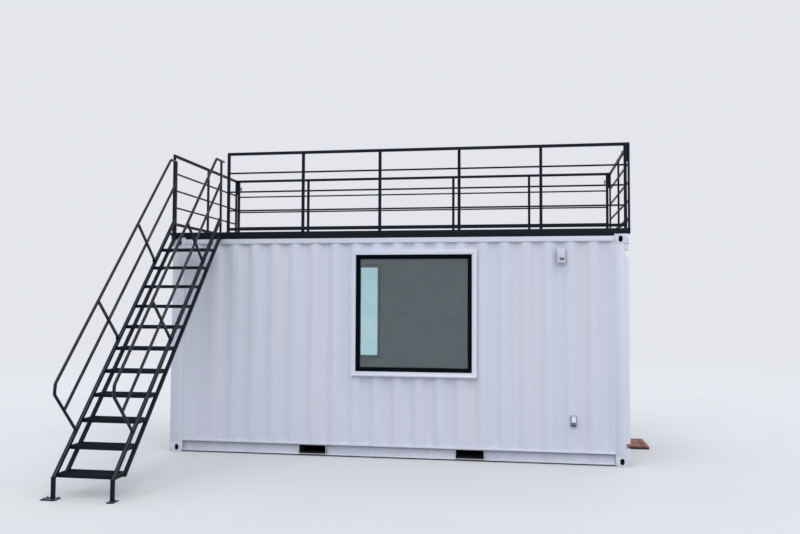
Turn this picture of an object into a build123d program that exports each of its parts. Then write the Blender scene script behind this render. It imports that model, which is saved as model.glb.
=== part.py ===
from build123d import *
import os
from math import degrees, hypot, radians, sin, tan

# Shipping container cabin with a railed roof deck and an outside stair.
# Millimetres. While building, x runs from the left end, y from the front face, z from the ground.
# Everything moves at the end so that the origin is the bottom centre of the whole object.

# container shell
length = 6058.0
width = 2438.0
height = 2896.0
seat = 0.3                  # gap left between pieces that rest on each other
face_set = 2.0              # frame pieces lie this far inside the castings' faces

# corner castings
cast_x = 178.0
cast_y = 162.0
cast_z = 118.0
cast_side_wall = 16.0
cast_end_wall = 14.0
cast_plate = 28.5
cast_hole_side_h = 79.5
cast_hole_side_w = 51.0
cast_hole_end_w = 63.5
cast_hole_x = 101.5
cast_hole_y = 89.0
cast_hole_rise = 57.5
cast_hole_drop = 65.0
cast_slot_x = 102.5
cast_slot_y = 89.5
cast_hole_top_l = 124.5
cast_hole_top_w = 63.5

# corner posts, folded to a hollow angle
post_front_w = 176.0
post_side_w = 110.0
post_fold = 45.7
post_plate = 6.0
post_rim_w = 60.0
post_rim_deep = 6.0
notch_w = 47.0
notch_top_drop = 203.0
notch_top_h = 87.0
notch_foot_rise = 221.0
notch_foot_h = 60.0

# bottom side rails, channels open outwards
rail_foot = 16.0
rail_top = 172.0
rail_web_in = 40.0
rail_plate = 4.5
rail_lip_h = 24.0
rail_low_lip = 10.0
rail_low_lip_h = 16.0

# fork pockets
pocket_in_w = 360.0
pocket_in_low = 30.0
pocket_in_h = 112.0
pocket_plate = 8.0
pocket_off = 1037.0

# floor
floor_level = 180.0
floor_board = 28.0
cross_h = 122.0
cross_w = 45.0
cross_plate = 4.0
cross_gap = 40.0
cross_per_span = 4

# end frames
end_tube_w = 60.0
end_tube_plate = 5.0
door_end_w = 120.0

# top rails
top_rail_drop = 24.0
top_rail_h = 65.0
top_rail_w = 60.0
top_rail_plate = 4.0

# folded wall sheets
sheet = 2.0
fold_depth = 36.0
fold_out = 72.0
fold_in = 70.0
fold_slope = 68.0
fold_at = 3400.0
wall_set = 10.0
door_wall_set = 60.0

# roof sheet
roof_depth = 20.0
roof_flat_out = 91.0
roof_flat_in = 91.0
roof_slope = 13.5
roof_top_drop = 7.0

# inside lining
lining = 60.0
ceiling_drop = 120.0
ceiling_board = 40.0

# windows
win_size = 1528.0
win_drop = 248.0
win_left = 2567.0
back_win_left = 940.0
casing_w = 60.0
casing_proud = 25.0
sill_proud = 40.0
sill_h = 22.0
frame_bar = 50.0
frame_depth = 60.0
frame_set = 5.0
frame_step_w = 16.0
frame_step_deep = 9.0
pane = 8.0
pane_set = 26.0
bead_depth = 14.0

# door in the right end
door_left = 1180.0
door_w = 920.0
door_h = 2080.0
door_frame_w = 45.0
door_leaf_t = 45.0
door_gap = 3.0
door_stop = 14.0
handle_z = 1050.0
handle_neck_r = 9.0
handle_len = 125.0
handle_in = 70.0
handle_stand = 45.0
handle_bar_w = 20.0
handle_bar_t = 10.0
rose_w = 52.0
rose_t = 8.0

# low wooden step at the door, planks on battens
step_out = 405.0
step_top = 32.0
step_left = 1290.0
step_len = 720.0
step_plank = 20.0
step_split = 320.0
step_split_gap = 10.0
step_batten_w = 60.0
step_batten_in = 6.0

# small fittings on the front
vent_end = 850.0
vent_in = 34.0
vent_w = 98.0
vent_drop = 182.0
vent_h = 185.0
vent_deep = 45.0
vent_top_deep = 20.0
vent_wall = 3.0
vent_mouth = 70.0
vent_pad = 20.0
vent_slot_in = 34.0
vent_slot_w = 52.0
vent_slot_rise = 35.0
vent_slot_h = 30.0
box_end = 650.0
box_w = 80.0
box_low = 480.0
box_h = 133.0
box_deep = 38.0
box_lid_deep = 22.0
box_lid_in = 4.0
box_lid_low = 48.0

# deck frame
deck_over = 20.0
deck_rise = 71.0
beam_w = 50.0
beam_plate = 5.0
joist_w = 40.0
joist_plate = 3.0
joist_count = 9
joist_in = 260.0
board_t = 30.0
board_count = 10
board_gap = 6.0

# railing panels, rectangular tube
tube_w = 38.0
tube_t = 25.0
rail_rise = 1085.0
mid_tube = 20.0
mid_drops = (282.0, 538.0, 793.0)
low_rail_rise = 40.0
end_mid_drops = (260.0, 496.0, 732.0)
end_low_rail_rise = 122.0
panel_set = 12.0
front_panel_left = 765.0
panel_gap = 12.0
end_panel_set = 0.5
long_bays = 5
end_bays = 2

# clamps between panels
clamp_h = 240.0
pin_drop = 148.0
pin_w = 16.0
pin_len = 14.0
pin_plate_t = 10.0
pin_plate_h = 66.0
pin_plate_up = 38.0

# stair
stair_left = 28.0
stair_wide = 650.0
tread_count = 11
tread_first = 254.0
tread_last_drop = 244.0
tread_back = 10.0
tread_deep = 240.0
tread_bar = 40.0
tread_bar_t = 6.0
tread_grid = 25.0
chord = 35.0
chord_rise = 183.7
chord_slope = 0.9363
chord_apart = 228.0
link_t = 10.0
leg_in = 200.0
foot_plate_t = 10.0
foot_plate_y = 120.0
left_foot_out = 108.0
left_foot_in = 54.0
right_foot_half = 38.0

# stair handrails
hand_r = 17.0
hand_sides = 12
hand_up = 965.0
mid_up = 490.0
hand_rise = 978.0
hand_low = 1175.0
hand_bend_z = 1065.0
hand_bend_out = 14.0
hand_foot_z = 638.0
hand_bend_r = 50.0
hand_end_y = 100.0
mid_bar = 24.0
mid_low_in = 370.0
slant_w = 25.0
slant_t = 25.0
slant_feet = (-575.0, -1475.0)
top_post = 25.0


def block(x0, x1, y0, y1, z0, z1):
    mid = ((x0 + x1) / 2, (y0 + y1) / 2, (z0 + z1) / 2)
    return Pos(*mid) * Box(x1 - x0, y1 - y0, z1 - z0)


def tube(x0, x1, y0, y1, z0, z1, axis, wall):
    outer = block(x0, x1, y0, y1, z0, z1)
    dx = 0 if axis == "x" else wall
    dy = 0 if axis == "y" else wall
    dz = 0 if axis == "z" else wall
    return outer - block(x0 + dx, x1 - dx, y0 + dy, y1 - dy, z0 + dz, z1 - dz)


def prism_z(points, z0, z1):
    face = make_face(Polyline(*points, close=True))
    return Pos(0, 0, z0) * extrude(face, amount=z1 - z0, dir=(0, 0, 1))


def prism_x(points, x0, x1):
    # points are (y, z)
    outline = [(x0, y, z) for y, z in points]
    return extrude(make_face(Polyline(*outline, close=True)), amount=x1 - x0, dir=(1, 0, 0))


def mirror_x(shape):
    return Pos(length, 0, 0) * mirror(shape, about=Plane.YZ)


def mirror_y(shape):
    return Pos(0, width, 0) * mirror(shape, about=Plane.XZ)


def group(pieces):
    return Compound([s for piece in pieces for s in piece.solids()])


# heights that follow the shell's height
top_rail_high = height - top_rail_drop
top_rail_low = top_rail_high - top_rail_h
ceiling_low = height - ceiling_drop - ceiling_board
win_low = height - win_drop - win_size
deck_top = height + deck_rise
rail_high = deck_top + rail_rise
hand_high = deck_top + hand_rise

# slope of the stair: its front bars meet the front face above the deck
chord_foot_y = -chord_slope * (deck_top + chord_rise)
leg_y = chord_foot_y + leg_in

# origin of the finished object, worked out from its outermost pieces
left_most = stair_left - left_foot_out
right_most = length + step_out
front_most = leg_y - foot_plate_y / 2
back_most = width + sill_proud - wall_set
shift = Pos(-(left_most + right_most) / 2, -(front_most + back_most) / 2, 0)

nodes = {}


def keep(name, pieces):
    nodes[name] = group(pieces)


# corner castings: hollow blocks with an oval hole in the side and end and a slot above or below
def slot_cutter(long_way, wide_way, deep, plane):
    sketch = plane * SlotOverall(long_way, wide_way)
    return extrude(sketch, amount=deep, both=True)


def casting(z0, open_up):
    body = block(0, cast_x, 0, cast_y, z0, z0 + cast_z)
    hollow = block(cast_end_wall, cast_x - cast_end_wall, cast_side_wall, cast_y - cast_side_wall,
                   z0 + cast_plate, z0 + cast_z - cast_plate)
    hole_z = z0 + (cast_z - cast_hole_drop if open_up else cast_hole_rise)
    side_plane = Plane(origin=(cast_hole_x, cast_side_wall / 2, hole_z), x_dir=(0, 0, 1), z_dir=(0, 1, 0))
    end_plane = Plane(origin=(cast_end_wall / 2, cast_hole_y, hole_z), x_dir=(0, 0, 1), z_dir=(1, 0, 0))
    flat_z = z0 + cast_z - cast_plate / 2 if open_up else z0 + cast_plate / 2
    flat_plane = Plane(origin=(cast_slot_x, cast_slot_y, flat_z), x_dir=(1, 0, 0), z_dir=(0, 0, 1))
    side = slot_cutter(cast_hole_side_h, cast_hole_side_w, cast_side_wall, side_plane)
    end = slot_cutter(cast_hole_side_h, cast_hole_end_w, cast_end_wall, end_plane)
    flat = slot_cutter(cast_hole_top_l, cast_hole_top_w, cast_plate, flat_plane)
    return body - hollow - side - end - flat


def four_corners(piece):
    right = mirror_x(piece)
    return [piece, right, mirror_y(piece), mirror_y(right)]


keep("bottom_corner_castings", four_corners(casting(0, False)))
keep("top_corner_castings", four_corners(casting(height - cast_z, True)))

# corner posts: plate folded to a hollow angle between the castings
post_low = cast_z + seat
post_high = height - cast_z - seat


def angle_points(inset):
    # the plain post
    a = face_set + inset
    fold = face_set + post_fold - inset
    x_end = face_set + post_front_w - inset
    y_end = face_set + post_side_w - inset
    return [(a, a), (x_end, a), (x_end, fold), (fold, fold), (fold, y_end), (a, y_end)]


post = prism_z(angle_points(0), post_low, post_high)
post -= prism_z(angle_points(post_plate), post_low - seat, post_high + seat)
keep("left_corner_posts", [post, mirror_y(post)])


def stepped_points(inset):
    # the post at the door end, with its outer rim set back
    plain = angle_points(inset)
    a = plain[0][0]
    rim = face_set + post_rim_w + inset
    return [(a, a + post_rim_deep), (rim, a + post_rim_deep), (rim, a)] + plain[1:]


stepped = prism_z(stepped_points(0), post_low, post_high)
stepped -= prism_z(stepped_points(post_plate), post_low - seat, post_high + seat)
notched = mirror_x(stepped)
for low, tall in ((height - notch_top_drop - notch_top_h, notch_top_h), (notch_foot_rise, notch_foot_h)):
    notched -= block(length - face_set - notch_w, length, 0, cast_y, low, low + tall)
keep("right_corner_posts", [notched, mirror_y(notched)])

# bottom side rails with the fork pockets through them
pocket_out_w = pocket_in_w + 2 * pocket_plate
pocket_low = pocket_in_low - pocket_plate
pocket_high = pocket_in_low + pocket_in_h + pocket_plate
pocket_mids = (length / 2 - pocket_off, length / 2 + pocket_off)
rail_x0 = cast_x + seat
rail_x1 = length - cast_x - seat
web_back = rail_web_in + rail_plate
rail = block(rail_x0, rail_x1, rail_web_in, web_back, rail_foot, rail_top)
rail += block(rail_x0, rail_x1, face_set, web_back, rail_top - rail_plate, rail_top)
rail += block(rail_x0, rail_x1, face_set, face_set + rail_plate, rail_top - rail_lip_h, rail_top)
rail += block(rail_x0, rail_x1, rail_low_lip, web_back, rail_foot, rail_foot + rail_plate)
rail += block(rail_x0, rail_x1, rail_low_lip, rail_low_lip + rail_plate,
              rail_foot, rail_foot + rail_low_lip_h)
for mid in pocket_mids:
    # the pocket's own bottom plate takes the place of the lower flange
    half = pocket_out_w / 2 + seat
    rail -= block(mid - half, mid + half, 0, cast_y, 0, pocket_high + seat)
keep("bottom_side_rails", [rail, mirror_y(rail)])
pockets = []
for mid in pocket_mids:
    half = pocket_out_w / 2
    pockets.append(tube(mid - half, mid + half, rail_low_lip, width - rail_low_lip,
                        pocket_low, pocket_high, "y", pocket_plate))
keep("fork_pockets", pockets)

# end sills and headers: hollow tubes between the castings
end_y0 = cast_y + seat
end_y1 = width - cast_y - seat
sill_left = tube(face_set, face_set + end_tube_w, end_y0, end_y1, rail_foot, rail_top, "y", end_tube_plate)
sill_right = tube(length - face_set - door_end_w, length - face_set, end_y0, end_y1,
                  rail_foot, rail_top, "y", end_tube_plate)
keep("end_sills", [sill_left, sill_right])
head_left = tube(face_set, face_set + end_tube_w, end_y0, end_y1,
                 top_rail_low, top_rail_high, "y", end_tube_plate)
head_right = tube(length - face_set - door_end_w, length - face_set, end_y0, end_y1,
                  top_rail_low, top_rail_high, "y", end_tube_plate)
keep("end_headers", [head_left, head_right])
top_rail = tube(rail_x0, rail_x1, face_set, face_set + top_rail_w,
                top_rail_low, top_rail_high, "x", top_rail_plate)
keep("top_side_rails", [top_rail, mirror_y(top_rail)])

# floor: channels across, boards on top
floor_low = floor_level - floor_board
cross_y0 = web_back + seat
cross_z1 = floor_low - seat
spans = [(cast_x, pocket_mids[0] - pocket_out_w / 2),
         (pocket_mids[0] + pocket_out_w / 2, pocket_mids[1] - pocket_out_w / 2),
         (pocket_mids[1] + pocket_out_w / 2, length - cast_x)]
cross_members = []
for x0, x1 in spans:
    first = x0 + cross_gap
    last = x1 - cross_gap - cross_w
    for k in range(cross_per_span):
        left = first + (last - first) * k / (cross_per_span - 1)
        bar = block(left, left + cross_w, cross_y0, width - cross_y0, cross_z1 - cross_h, cross_z1)
        bar -= block(left + cross_plate, left + cross_w, cross_y0, width - cross_y0,
                     cross_z1 - cross_h + cross_plate, cross_z1 - cross_plate)
        cross_members.append(bar)
keep("floor_cross_members", cross_members)
wall_back = wall_set + fold_depth + sheet
floor_x0 = face_set + end_tube_w + seat
floor_x1 = length - face_set - door_end_w - seat
floor = block(floor_x0, floor_x1, wall_back + seat, width - wall_back - seat, floor_low, floor_level)
keep("floor_boards", [floor])


# folded wall sheets
def fold_points(x0, x1, outer, depth, flat_a, flat_b, slope, known_flat=None):
    # zigzag from x0 to x1 that starts and ends on an outer flat, centred or through a known outer flat
    pitch = flat_a + flat_b + 2 * slope
    start = (x0 + x1) / 2 - ((x1 - x0) // pitch) * pitch / 2
    if known_flat:
        start = known_flat - ((known_flat - x0) // pitch) * pitch
    count = int((x1 + flat_a / 2 - start) // pitch)
    line = [(x0, outer)]
    for k in range(count):
        a = start + k * pitch + flat_a / 2
        line += [(a, outer), (a + slope, outer + depth),
                 (a + slope + flat_b, outer + depth), (a + 2 * slope + flat_b, outer)]
    line.append((x1, outer))
    return line


def folded(x0, x1, outer, z0, z1, known_flat=None):
    line = fold_points(x0, x1, outer, fold_depth, fold_out, fold_in, fold_slope, known_flat)
    back = [(x, y + sheet) for x, y in reversed(line)]
    return prism_z(line + back, z0, z1)


wall_low = rail_top + seat
wall_high = top_rail_low - seat
over_cast = height - cast_z - seat
corner_blocks = four_corners(block(0, cast_x + seat, 0, cast_y + seat, over_cast, height))
wall_x0 = face_set + post_front_w + seat
wall_x1 = length - wall_x0
hole_low = win_low - casing_w
hole_high = win_low + win_size + casing_w
front_hole = (win_left - casing_w, win_left + win_size + casing_w)
back_hole = (back_win_left - casing_w, back_win_left + win_size + casing_w)


def side_wall(hole):
    wall = folded(wall_x0, wall_x1, wall_set, wall_low, wall_high, fold_at)
    return wall - block(hole[0] - seat, hole[1] + seat, 0, cast_y, hole_low - seat, hole_high + seat)


def clear_corners(piece):
    for corner in corner_blocks:
        piece -= corner
    return piece


keep("front_wall", [clear_corners(side_wall(front_hole))])
keep("back_wall", [clear_corners(mirror_y(side_wall(back_hole)))])


def end_wall(set_in):
    low_y = face_set + post_side_w + seat
    flat = folded(low_y, width - low_y, set_in, wall_low, wall_high)
    return Rot(0, 0, 90) * mirror(flat, about=Plane.XZ)


left_wall = end_wall(wall_set)
keep("left_end_wall", [clear_corners(left_wall)])
door_y0 = door_left
door_y1 = door_left + door_w
door_z1 = floor_level + door_h
right_wall = mirror_x(end_wall(door_wall_set))
right_wall -= block(length - cast_x, length, door_y0 - seat, door_y1 + seat, wall_low - seat, door_z1 + seat)
keep("right_end_wall", [clear_corners(right_wall)])

# roof sheet, folded across, between the top rails
roof_top = top_rail_high - roof_top_drop
roof_y0 = face_set + top_rail_w + seat
roof_x0 = face_set + end_tube_w + seat
roof_x1 = length - face_set - door_end_w - seat
roof_line = fold_points(roof_x0, roof_x1, roof_top, -roof_depth, roof_flat_out, roof_flat_in, roof_slope)
roof_back = [(x, z - sheet) for x, z in reversed(roof_line)]
roof = extrude(make_face(Polyline(*[(x, roof_y0, z) for x, z in roof_line + roof_back], close=True)),
               amount=width - 2 * roof_y0, dir=(0, 1, 0))
keep("roof_sheet", [clear_corners(roof)])

# inside lining, boards that stand on the floor and carry the ceiling
line_low = floor_level + seat
line_high = ceiling_low - seat
line_y0 = wall_back + seat
line_y1 = line_y0 + lining
line_x0 = wall_back + seat
line_x1 = line_x0 + lining
right_back = length - (door_wall_set + fold_depth + sheet + seat)
right_face = right_back - lining


def side_lining(hole):
    x0, x1 = line_x1 + seat, right_face - seat
    a, b = hole[0] - seat, hole[1] + seat
    return [block(x0, a - seat, line_y0, line_y1, line_low, line_high),
            block(b + seat, x1, line_y0, line_y1, line_low, line_high),
            block(a, b, line_y0, line_y1, line_low, hole_low - seat),
            block(a, b, line_y0, line_y1, hole_high + seat, line_high)]


keep("front_lining", side_lining(front_hole))
keep("back_lining", [mirror_y(p) for p in side_lining(back_hole)])
keep("left_lining", [block(line_x0, line_x1, line_y0, width - line_y0, line_low, line_high)])
keep("right_lining", [
    block(right_face, right_back, line_y0, door_y0 - 2 * seat, line_low, line_high),
    block(right_face, right_back, door_y1 + 2 * seat, width - line_y0, line_low, line_high),
    block(right_face, right_back, door_y0 - seat, door_y1 + seat, door_z1 + seat, line_high)])
keep("ceiling_lining", [block(line_x0, right_back, line_y0, width - line_y0,
                              ceiling_low, ceiling_low + ceiling_board)])


# windows: casing through the wall, fixed frame in it, pane in the frame
def casing(left):
    x0, x1 = left - casing_w, left + win_size + casing_w
    body = block(x0, x1, -casing_proud + wall_set, line_y1, hole_low, hole_high)
    body += block(x0, x1, -sill_proud + wall_set, wall_set, hole_low, hole_low + sill_h)
    return body - block(left, left + win_size, -cast_y, cast_y, win_low, win_low + win_size)


def window_bars(left):
    x0, x1 = left + seat, left + win_size - seat
    z0, z1 = win_low + seat, win_low + win_size - seat
    y0 = frame_set
    ring = block(x0, x1, y0, y0 + frame_depth, z0, z1)
    ring -= block(x0 + frame_bar, x1 - frame_bar, y0 - seat, y0 + frame_depth + seat,
                  z0 + frame_bar, z1 - frame_bar)
    step_in = frame_bar - frame_step_w
    ring -= block(x0 + step_in, x1 - step_in, y0 - seat, y0 + frame_step_deep, z0 + step_in, z1 - step_in)
    pane_y = y0 + pane_set
    grip = bead_depth
    ring -= block(x0 + frame_bar - grip - seat, x1 - frame_bar + grip + seat,
                  pane_y - seat, pane_y + pane + seat,
                  z0 + frame_bar - grip - seat, z1 - frame_bar + grip + seat)
    sheet_of_glass = block(x0 + frame_bar - grip, x1 - frame_bar + grip, pane_y, pane_y + pane,
                           z0 + frame_bar - grip, z1 - frame_bar + grip)
    return ring, sheet_of_glass


front_ring, front_pane = window_bars(win_left)
back_ring, back_pane = window_bars(back_win_left)
keep("window_casings", [casing(win_left), mirror_y(casing(back_win_left))])
keep("window_frames", [front_ring, mirror_y(back_ring)])
keep("window_glass", [front_pane, mirror_y(back_pane)])

# door: frame in the end wall, closed leaf, lever handles on both faces
frame_x0 = right_face
frame_x1 = length - door_wall_set + wall_set
door_z0 = floor_level + seat
door_frame = block(frame_x0, frame_x1, door_y0, door_y1, door_z0, door_z1)
leaf_x1 = frame_x1 - face_set
leaf_x0 = leaf_x1 - door_leaf_t
door_frame -= block(leaf_x0 - seat, frame_x1 + seat, door_y0 + door_frame_w, door_y1 - door_frame_w,
                    door_z0 - seat, door_z1 - door_frame_w)
stop_w = door_frame_w + door_stop
door_frame -= block(frame_x0 - seat, frame_x1 + seat, door_y0 + stop_w, door_y1 - stop_w,
                    door_z0 - seat, door_z1 - stop_w)
keep("door_frame", [door_frame])
leaf_y0 = door_y0 + door_frame_w + door_gap
leaf_y1 = door_y1 - door_frame_w - door_gap
leaf = block(leaf_x0, leaf_x1, leaf_y0, leaf_y1, door_z0 + door_gap, door_z1 - door_frame_w - door_gap)
keep("door_leaf", [leaf])


def lever(x_face, way):
    # square rose, round neck and flat bar, away from the face by way
    y = leaf_y0 + handle_in
    x = x_face + way * seat
    reach = rose_t + handle_stand
    half_w = handle_bar_w / 2
    rose = Pos(x + way * rose_t / 2, y, handle_z) * Box(rose_t, rose_w, rose_w)
    neck = Pos(x + way * reach / 2, y, handle_z) * Rot(0, 90, 0) * Cylinder(handle_neck_r, reach)
    bar = Pos(x + way * (reach + handle_bar_t / 2), y + handle_len / 2 - half_w, handle_z)
    return rose + neck + bar * Box(handle_bar_t, handle_len, handle_bar_w)


keep("door_handle", [lever(leaf_x1, 1), lever(leaf_x0, -1)])

# low wooden step: two planks on battens
plank_low = step_top - step_plank
step_x0 = length - face_set + seat
step_x1 = length + step_out
split = step_x0 + step_split
step_y1 = step_left + step_len
step = block(step_x0, split, step_left, step_y1, plank_low, step_top)
step += block(split + step_split_gap, step_x1, step_left, step_y1, plank_low, step_top)
for y in (step_left + step_batten_in, step_y1 - step_batten_in - step_batten_w):
    step += block(step_x0, step_x1 - step_batten_in, y, y + step_batten_w, 0, plank_low)
keep("door_step", [step])

# hooded fitting and cable outlet box on the front wall
seat_y = wall_set - seat
# the hood sits over the inner fold nearest to its distance from the right end
fold_pitch = fold_out + fold_in + 2 * fold_slope
first_fold = fold_at + (fold_out + fold_in) / 2 + fold_slope
vent_fold = first_fold + round((length - vent_end - first_fold) / fold_pitch) * fold_pitch
vent_x = vent_fold - vent_in
vent_low = height - vent_drop - vent_h
box_x = length - box_end - box_w
hood = prism_x([(seat_y, vent_low), (seat_y, vent_low + vent_h),
                (seat_y - vent_top_deep, vent_low + vent_h),
                (seat_y - vent_deep, vent_low + vent_h / 2),
                (seat_y - vent_deep, vent_low)], vent_x, vent_x + vent_w)
hood -= block(vent_x + vent_wall, vent_x + vent_w - vent_wall, seat_y - vent_deep + vent_wall,
              seat_y - vent_wall, vent_low, vent_low + vent_mouth)
slot_x = vent_x + vent_slot_in
hood -= block(slot_x, slot_x + vent_slot_w, seat_y - vent_deep, seat_y - vent_deep / 2,
              vent_low + vent_slot_rise, vent_low + vent_slot_rise + vent_slot_h)
hood += block(vent_fold - vent_pad, vent_fold + vent_pad, seat_y, wall_set + fold_depth - seat,
              vent_low + vent_mouth, vent_low + vent_h)
keep("wall_vent", [hood])
outlet = block(box_x, box_x + box_w, seat_y - box_deep, seat_y, box_low, box_low + box_h)
outlet += block(box_x + box_lid_in, box_x + box_w - box_lid_in, seat_y - box_deep - box_lid_deep,
                seat_y - box_deep, box_low + box_lid_low, box_low + box_h - box_lid_in)
keep("outlet_box", [outlet])

# deck frame: channels on the top rails, cut short over the castings
beam_low = top_rail_high + seat
cope_z = height + seat
cope_x = cast_x + deck_over
beam_x0 = -deck_over
beam_x1 = length + deck_over
beam = block(beam_x0, beam_x1, 0, beam_plate, beam_low, deck_top)
beam += block(beam_x0, beam_x1, 0, beam_w, deck_top - beam_plate, deck_top)
beam += block(beam_x0, beam_x1, 0, beam_w, beam_low, beam_low + beam_plate)
beam -= block(beam_x0, cope_x, 0, beam_w, beam_low, cope_z)
beam -= block(length - cope_x, beam_x1, 0, beam_w, beam_low, cope_z)
keep("deck_side_beams", [beam, mirror_y(beam)])
end_beam = block(beam_x0, beam_x0 + beam_plate, beam_w + seat, width - beam_w - seat, cope_z, deck_top)
end_beam += block(beam_x0, beam_x0 + beam_w, beam_w + seat, width - beam_w - seat,
                  deck_top - beam_plate, deck_top)
end_beam += block(beam_x0, beam_x0 + beam_w, beam_w + seat, width - beam_w - seat,
                  cope_z, cope_z + beam_plate)
keep("deck_end_beams", [end_beam, mirror_x(end_beam)])
joist_low = beam_low + beam_plate + seat
board_low = deck_top - board_t
joists = []
for k in range(joist_count):
    mid = joist_in + (length - 2 * joist_in) * k / (joist_count - 1)
    joists.append(tube(mid - joist_w / 2, mid + joist_w / 2, beam_plate + seat, width - beam_plate - seat,
                       joist_low, board_low - seat, "y", joist_plate))
keep("deck_joists", joists)
board_x0 = beam_x0 + beam_w + seat
board_span = (length - 2 * board_x0 - (board_count - 1) * board_gap) / board_count
boards = []
for k in range(board_count):
    x0 = board_x0 + k * (board_span + board_gap)
    boards.append(block(x0, x0 + board_span, beam_w + seat, width - beam_w - seat, board_low, deck_top))
keep("deck_boards", boards)


# railing panels, drawn flat along x and then turned
def panel(span, bays, drops, low_rise):
    post_low_z = deck_top + seat
    top_z = rail_high - tube_w
    low_rail_z = deck_top + low_rise
    step_x = (span - tube_w) / bays
    body = block(0, span, 0, tube_t, top_z, rail_high)
    body += block(0, span, 0, tube_t, low_rail_z - tube_w / 2, low_rail_z + tube_w / 2)
    mid_y = (tube_t - mid_tube) / 2
    for drop in drops:
        z = rail_high - drop
        body += block(0, span, mid_y, mid_y + mid_tube, z - mid_tube / 2, z + mid_tube / 2)
    for k in range(bays + 1):
        x = k * step_x
        body += block(x, x + tube_w, 0, tube_t, post_low_z, top_z)
    return body


end_left_x = -deck_over + end_panel_set
end_right_x = length + deck_over - end_panel_set - tube_t
front_right = end_right_x - panel_gap
back_left_x = end_left_x + tube_t + panel_gap
front_panel = panel(front_right - front_panel_left, long_bays, mid_drops, low_rail_rise)
keep("front_railing", [Pos(front_panel_left, panel_set, 0) * front_panel])
back_panel = panel(front_right - back_left_x, long_bays, mid_drops, low_rail_rise)
keep("back_railing", [Pos(back_left_x, width - panel_set - tube_t, 0) * back_panel])
end_span = width - 2 * panel_set
end_panel = Rot(0, 0, 90) * panel(end_span, end_bays, end_mid_drops, end_low_rail_rise)
keep("left_railing", [Pos(end_left_x + tube_t, panel_set, 0) * end_panel])
keep("right_railing", [Pos(end_right_x + tube_t, panel_set, 0) * end_panel])


# clamps: a strip between the end posts of neighbouring panels and a pin with its plate beside them
def clamp(x0, x1, pin_x, way, y0):
    # pin_x is the inner face of the long panel's end post, way points along that panel
    y1 = y0 + tube_t
    y_mid = (y0 + y1) / 2
    strip = block(x0 + seat, x1 - seat, y0, y1, rail_high - clamp_h, rail_high)
    z = rail_high - pin_drop
    pin = Pos(pin_x + way * (seat + pin_len / 2), y_mid, z) * Box(pin_len, pin_w, pin_w)
    plate_z = z + pin_plate_up - pin_plate_h / 2
    plate = Pos(pin_x + way * (seat + pin_len + pin_plate_t / 2), y_mid, plate_z)
    return [strip, pin + plate * Box(pin_plate_t, tube_t, pin_plate_h)]


front_y = panel_set
back_y = width - panel_set - tube_t
right_pin = front_right - tube_w
left_pin = back_left_x + tube_w
keep("railing_clamps", clamp(front_right, end_right_x, right_pin, -1, front_y)
     + clamp(front_right, end_right_x, right_pin, -1, back_y)
     + clamp(end_left_x + tube_t, back_left_x, left_pin, 1, back_y))

# stair: two side trusses of square tube, treads between them
slope_len = hypot(1, chord_slope)
up_y = chord_slope / slope_len
up_z = 1 / slope_len


def chord_y(z):
    return chord_foot_y + chord_slope * z


def chord_z(y):
    return (y - chord_foot_y) / chord_slope


tread_rise = (deck_top - tread_last_drop - tread_first) / (tread_count - 1)


def slanted(x_mid, wide, thick, y0, z0, y1, z1):
    # straight bar of square or flat section from one (y, z) to another
    run = hypot(y1 - y0, z1 - z0)
    ny, nz = -(z1 - z0) / run * thick / 2, (y1 - y0) / run * thick / 2
    outline = [(y0 + ny, z0 + nz), (y1 + ny, z1 + nz), (y1 - ny, z1 - nz), (y0 - ny, z0 - nz)]
    return prism_x(outline, x_mid - wide / 2, x_mid + wide / 2)


def stringer(x_mid):
    leg_top = chord_z(leg_y)
    top_z = chord_z(-seat)
    front = slanted(x_mid, chord, chord, leg_y, leg_top, leg_y + chord_slope * (top_z - leg_top), top_z)
    leg = block(x_mid - chord / 2, x_mid + chord / 2, leg_y - chord / 2, leg_y + chord / 2,
                foot_plate_t + seat, leg_top + chord / 2)
    rear_low_z = tread_first - tread_bar
    rear_low_y = chord_y(rear_low_z) + chord_apart
    rear_high_z = deck_top
    rear_high_y = chord_y(rear_high_z) + chord_apart
    rear = slanted(x_mid, chord, chord, rear_low_y, rear_low_z, rear_high_y, rear_high_z)
    whole = front + leg + rear
    # end plates that carry the treads, from the front bar to the rear one
    for k in range(tread_count):
        z1 = tread_first + k * tread_rise
        link_y = chord_y(z1 - tread_bar / 2)
        whole += block(x_mid - link_t / 2, x_mid + link_t / 2, link_y, link_y + chord_apart,
                       z1 - tread_bar, z1)
    return whole - block(x_mid - chord, x_mid + chord, -seat, width, 0, rail_high)


stair_right = stair_left + stair_wide
left_side = stringer(stair_left)
right_side = stringer(stair_right)
keep("stair_left_stringer", [left_side])
keep("stair_right_stringer", [right_side])
foot_y0 = leg_y - foot_plate_y / 2
foot_y1 = leg_y + foot_plate_y / 2
keep("stair_feet", [
    block(stair_left - left_foot_out, stair_left + left_foot_in, foot_y0, foot_y1, 0, foot_plate_t),
    block(stair_right - right_foot_half, stair_right + right_foot_half, foot_y0, foot_y1, 0, foot_plate_t)])
treads = []
tread_x0 = stair_left + chord / 2 + seat
tread_x1 = stair_right - chord / 2 - seat
for k in range(tread_count):
    z1 = tread_first + k * tread_rise
    y0 = chord_y(z1) + tread_back
    tread = block(tread_x0, tread_x1, y0, y0 + tread_deep, z1 - tread_grid, z1)
    tread += block(tread_x0, tread_x1, y0, y0 + tread_bar_t, z1 - tread_bar, z1)
    tread += block(tread_x0, tread_x1, y0 + tread_deep - tread_bar_t, y0 + tread_deep, z1 - tread_bar, z1)
    for x in (tread_x0, tread_x1 - tread_bar_t):
        tread += block(x, x + tread_bar_t, y0, y0 + tread_deep, z1 - tread_bar, z1)
    treads.append(tread)
keep("stair_treads", treads)


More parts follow.
